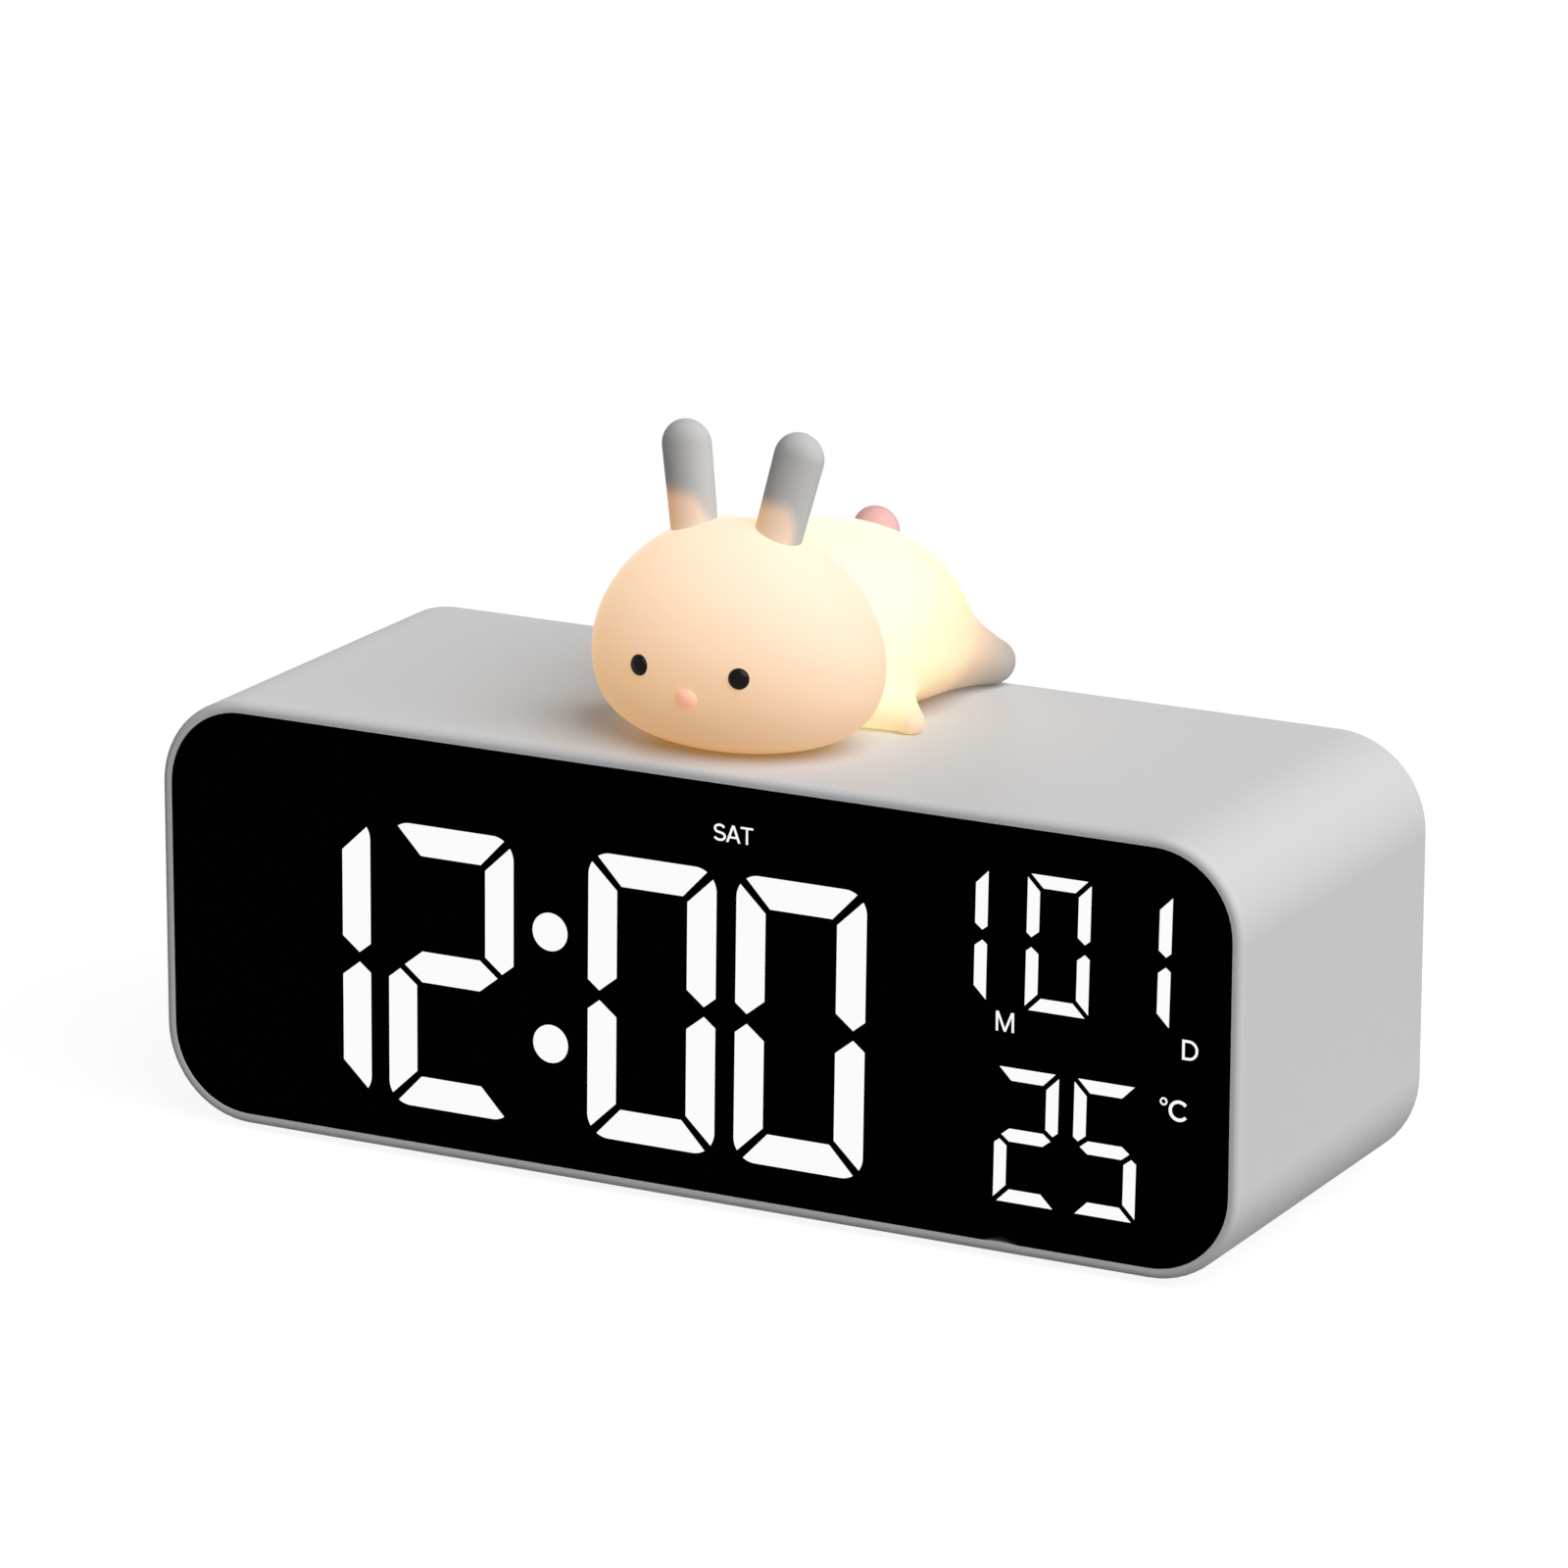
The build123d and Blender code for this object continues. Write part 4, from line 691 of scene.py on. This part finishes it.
# %% A surface net
def surface_net(field, low, high, step):
    """An even quad mesh of a field's zero level inside a box."""
    axes = [np.arange(a, b + step, step) for a, b in zip(low, high)]
    grid = np.stack(np.meshgrid(*axes, indexing="ij"), -1)
    values = field(grid.reshape(-1, 3)).reshape(grid.shape[:3])
    cells = tuple(n - 1 for n in values.shape)
    total = np.zeros((*cells, 3))
    count = np.zeros(cells)

    def corner(o):
        return tuple(slice(o[i], o[i] + cells[i]) for i in range(3))

    for axis in range(3):
        others = [i for i in range(3) if i != axis]
        for first in (0, 1):
            for second in (0, 1):
                start = [0, 0, 0]
                start[others[0]], start[others[1]] = first, second
                end = list(start)
                end[axis] = 1
                a, b = values[corner(start)], values[corner(end)]
                crossed = (a < 0) != (b < 0)
                share = np.where(crossed, a / np.where(crossed, a - b, 1), 0)[..., None]
                spot = grid[corner(start)] * (1 - share) + grid[corner(end)] * share
                total += np.where(crossed[..., None], spot, 0)
                count += crossed
    used = count > 0
    number = np.full(cells, -1)
    number[used] = np.arange(used.sum())
    points = total[used] / count[used][:, None]
    quads = []
    for axis in range(3):
        u, v = [i for i in range(3) if i != axis]
        ahead = [slice(None)] * 3
        behind = [slice(None)] * 3
        ahead[axis], behind[axis] = slice(1, None), slice(None, -1)
        crossed = (values[tuple(behind)] < 0) != (values[tuple(ahead)] < 0)
        for place in np.argwhere(crossed):
            if place[u] == 0 or place[v] == 0 or place[u] >= cells[u] or place[v] >= cells[v]:
                continue
            loop = []
            for du, dv in ((1, 1), (0, 1), (0, 0), (1, 0)):
                cell = place.copy()
                cell[u] -= du
                cell[v] -= dv
                loop.append(int(number[tuple(cell)]))
            outward = values[tuple(place)] < 0
            quads.append(loop if outward != (axis == 1) else loop[::-1])
    return points, quads


# %% The two skins
NET_STEP = 0.6


def skin(name, field, low, high, node, paint):
    """A skin from a field in place of a CAD node."""
    spots, quads = surface_net(field, low, high, NET_STEP)
    mesh = bpy.data.meshes.new(name)
    mesh.from_pydata([(x * MM, y * MM, case_top + z * MM) for x, y, z in spots], [], quads)
    mesh.polygons.foreach_set("use_smooth", [True] * len(mesh.polygons))
    mesh.materials.append(paint)
    made = add(name, mesh)
    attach(made, "clock")
    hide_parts(node)
    print(name, len(spots), "points,", len(quads), "quads")


skin("rabbit_skin", body_field, (-27, -4, -1.2), (27, 36, 30), "rabbit_body", body_skin)
skin("face_skin", head_field, (-25, -34, -1.2), (25, -1, 36), "rabbit_head", head_skin)

# %% [markdown]
# ## Eyes and nose
# The eyes are black beads and the nose is a small pink one. Each is a flat dome that leans with the face,
# so it is set on the head's field, along the way out of it.


# %% Beads on the face
EYE_HEIGHT = 14.0
EYE_RADIUS = 1.6
EYE_PROUD = 0.8
BEFORE_FACE = -33.5


def bead(node, x, height, half_width, half_height, proud, paint):
    """A dome on the head's skin in place of a CAD node; a few steps bring its middle onto the skin."""
    spot = np.array([[x, BEFORE_FACE, height]])
    for _ in range(6):
        distance, outward = bun_field(spot, head_bun)
        spot[0, 1] -= distance[0] / outward[0, 1]
    out = Vector(outward[0]).normalized()
    right = Vector((0.0, 0.0, 1.0)).cross(out).normalized()
    up = out.cross(right)
    dome = bmesh.new()
    bmesh.ops.create_uvsphere(dome, u_segments=48, v_segments=24, radius=1.0)
    for v in dome.verts:
        place = half_width * v.co.x * right + half_height * v.co.y * up + proud * v.co.z * out
        v.co = (Vector(spot[0]) + place) * MM + Vector((0.0, 0.0, case_top))
    mesh = bpy.data.meshes.new(node + "_bead")
    dome.to_mesh(mesh)
    dome.free()
    mesh.polygons.foreach_set("use_smooth", [True] * len(mesh.polygons))
    mesh.materials.append(paint)
    made = add(node + "_bead", mesh)
    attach(made, "clock")
    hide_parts(node)
    print(made.name, "at", [round(v, 2) for v in spot[0]])


for eye, eye_x in (("left_eye", -8.45), ("right_eye", 8.1)):
    bead(eye, eye_x, EYE_HEIGHT, EYE_RADIUS, EYE_RADIUS, EYE_PROUD, finish["black_bead"])
bead("nose", -0.1, 10.2, 1.7, 1.45, 0.9, nose_skin)

# %% [markdown]
# ## Contacts in the charging socket
# Twelve gold pads lie side by side on the socket's tongue. A node group sets one pad on each point of a line.


# %% A row of contacts
def row_group():
    """A node group that makes a row of equal pads."""
    tree = bpy.data.node_groups.new("Row", "GeometryNodeTree")
    tree.interface.new_socket("Geometry", in_out="INPUT", socket_type="NodeSocketGeometry")
    tree.interface.new_socket("Count", in_out="INPUT", socket_type="NodeSocketInt")
    tree.interface.new_socket("Start", in_out="INPUT", socket_type="NodeSocketVector")
    tree.interface.new_socket("Step", in_out="INPUT", socket_type="NodeSocketVector")
    tree.interface.new_socket("Size", in_out="INPUT", socket_type="NodeSocketVector")
    tree.interface.new_socket("Material", in_out="INPUT", socket_type="NodeSocketMaterial")
    tree.interface.new_socket("Geometry", in_out="OUTPUT", socket_type="NodeSocketGeometry")
    start = tree.nodes.new("NodeGroupInput")
    end = tree.nodes.new("NodeGroupOutput")
    line = tree.nodes.new("GeometryNodeMeshLine")
    pad = tree.nodes.new("GeometryNodeMeshCube")
    placed = tree.nodes.new("GeometryNodeInstanceOnPoints")
    real = tree.nodes.new("GeometryNodeRealizeInstances")
    painted = tree.nodes.new("GeometryNodeSetMaterial")
    link = tree.links.new
    link(start.outputs["Count"], line.inputs["Count"])
    link(start.outputs["Start"], line.inputs["Start Location"])
    link(start.outputs["Step"], line.inputs["Offset"])
    link(start.outputs["Size"], pad.inputs["Size"])
    link(line.outputs["Mesh"], placed.inputs["Points"])
    link(pad.outputs["Mesh"], placed.inputs["Instance"])
    link(placed.outputs["Instances"], real.inputs["Geometry"])
    link(real.outputs["Geometry"], painted.inputs["Geometry"])
    link(start.outputs["Material"], painted.inputs["Material"])
    link(painted.outputs["Geometry"], end.inputs["Geometry"])
    return tree


PAD_COUNT = 12
gold = material("contact_gold", linear(226, 186, 110), 0.3, 1.0)[0]
tongue_low, tongue_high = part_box("socket_tongue")
pitch = 0.5 * MM
middle = (tongue_low + tongue_high) / 2
settings = {
    "Count": PAD_COUNT,
    "Start": (middle.x - (PAD_COUNT - 1) / 2 * pitch, middle.y + 0.2 * MM, tongue_high.z + 0.02 * MM),
    "Step": (pitch, 0.0, 0.0),
    "Size": (0.26 * MM, 4.0 * MM, 0.04 * MM),
    "Material": gold,
}
empty = bpy.data.meshes.new("socket_contacts")
contacts = through(add("socket_contacts", empty), row_group(), settings)
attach(contacts, "clock")
print("contact pads:", len(contacts.data.polygons) // 6)

# %% [markdown]
# ## Light, floor and camera
# One broad sun stands above and to the right of the camera, as the brightest edge of the case shows.
# A weak sun behind fills the back. The floor is white to the camera and keeps a soft shadow.


# %% Stage
def sun(name, direction, strength, angle):
    """A sun that shines from a direction, as wide as an angle in degrees."""
    lamp_data = bpy.data.lights.new(name, "SUN")
    lamp_data.energy = strength
    lamp_data.angle = math.radians(angle)
    made = add(name, lamp_data)
    made.rotation_mode = "QUATERNION"
    made.rotation_quaternion = Vector(direction).to_track_quat("Z", "Y")
    return made


sun("key", (0.657, -0.263, 0.707), 3.15, 60)
fill = sun("back_fill", (-0.5, 0.86, 0.087), 2.0, 20)
fill.visible_glossy = False


def seen(tree):
    """1 for what the camera sees straight, in gloss or through glass, 0 for other light."""
    path = tree.nodes.new("ShaderNodeLightPath")
    camera = Value(tree, path.outputs["Is Camera Ray"])
    glossy = Value(tree, path.outputs["Is Glossy Ray"])
    clear = Value(tree, path.outputs["Is Transmission Ray"])
    return camera.math("MAXIMUM", camera, glossy.math("MAXIMUM", glossy, clear))


world = bpy.data.worlds.new("studio")
world.use_nodes = True
bpy.context.scene.world = world
tree = world.node_tree
tree.nodes.clear()
ambient = tree.nodes.new("ShaderNodeBackground")
ambient.inputs["Color"].default_value = (0.085, 0.085, 0.085, 1.0)
white = tree.nodes.new("ShaderNodeBackground")
white.inputs["Color"].default_value = (1.0, 1.0, 1.0, 1.0)
either = tree.nodes.new("ShaderNodeMixShader")
output = tree.nodes.new("ShaderNodeOutputWorld")
tree.links.new(seen(tree).socket, either.inputs["Fac"])
tree.links.new(ambient.outputs[0], either.inputs[1])
tree.links.new(white.outputs[0], either.inputs[2])
tree.links.new(either.outputs[0], output.inputs["Surface"])

floor_paint = bpy.data.materials.new("floor")
floor_paint.use_nodes = True
tree = floor_paint.node_tree
tree.nodes.clear()
pale = tree.nodes.new("ShaderNodeBsdfDiffuse")
pale.inputs["Color"].default_value = (0.3, 0.3, 0.3, 1.0)
faint = tree.nodes.new("ShaderNodeBsdfDiffuse")
faint.inputs["Color"].default_value = (0.15, 0.15, 0.15, 1.0)
shine = tree.nodes.new("ShaderNodeEmission")
shine.inputs["Color"].default_value = (0.9, 0.9, 0.9, 1.0)
both = tree.nodes.new("ShaderNodeAddShader")
either = tree.nodes.new("ShaderNodeMixShader")
output = tree.nodes.new("ShaderNodeOutputMaterial")
tree.links.new(faint.outputs[0], both.inputs[0])
tree.links.new(shine.outputs[0], both.inputs[1])
tree.links.new(seen(tree).socket, either.inputs["Fac"])
tree.links.new(pale.outputs[0], either.inputs[1])
tree.links.new(both.outputs[0], either.inputs[2])
tree.links.new(either.outputs[0], output.inputs["Surface"])
ground = bpy.data.meshes.new("floor")
reach = 6
corners = [(-reach, -reach, 0), (reach, -reach, 0), (reach, reach, 0), (-reach, reach, 0)]
ground.from_pydata(corners, [], [(0, 1, 2, 3)])
ground.materials.append(floor_paint)
floor = add("floor", ground)

camera_data = bpy.data.cameras.new("camera")
camera_data.sensor_width = 36.0
camera_data.lens = 188.64
camera_data.clip_end = 100.0
camera = add("camera", camera_data)
azimuth, elevation, roll = 27.677, 15.855, 0.146
camera_place = Vector((0.54943, -1.04899, 0.35887))
turn = Matrix.Rotation(math.radians(azimuth), 4, "Z")
turn = turn @ Matrix.Rotation(math.radians(90 - elevation), 4, "X")
turn = turn @ Matrix.Rotation(math.radians(roll), 4, "Z")
middle = (case_low + case_high) / 2
camera.matrix_world = Matrix.Translation(middle + camera_place) @ turn
bpy.context.scene.camera = camera
bpy.context.scene.view_settings.view_transform = "Standard"
print("camera turn:", [[round(v, 4) for v in row[:3]] for row in turn.transposed()[:3]])
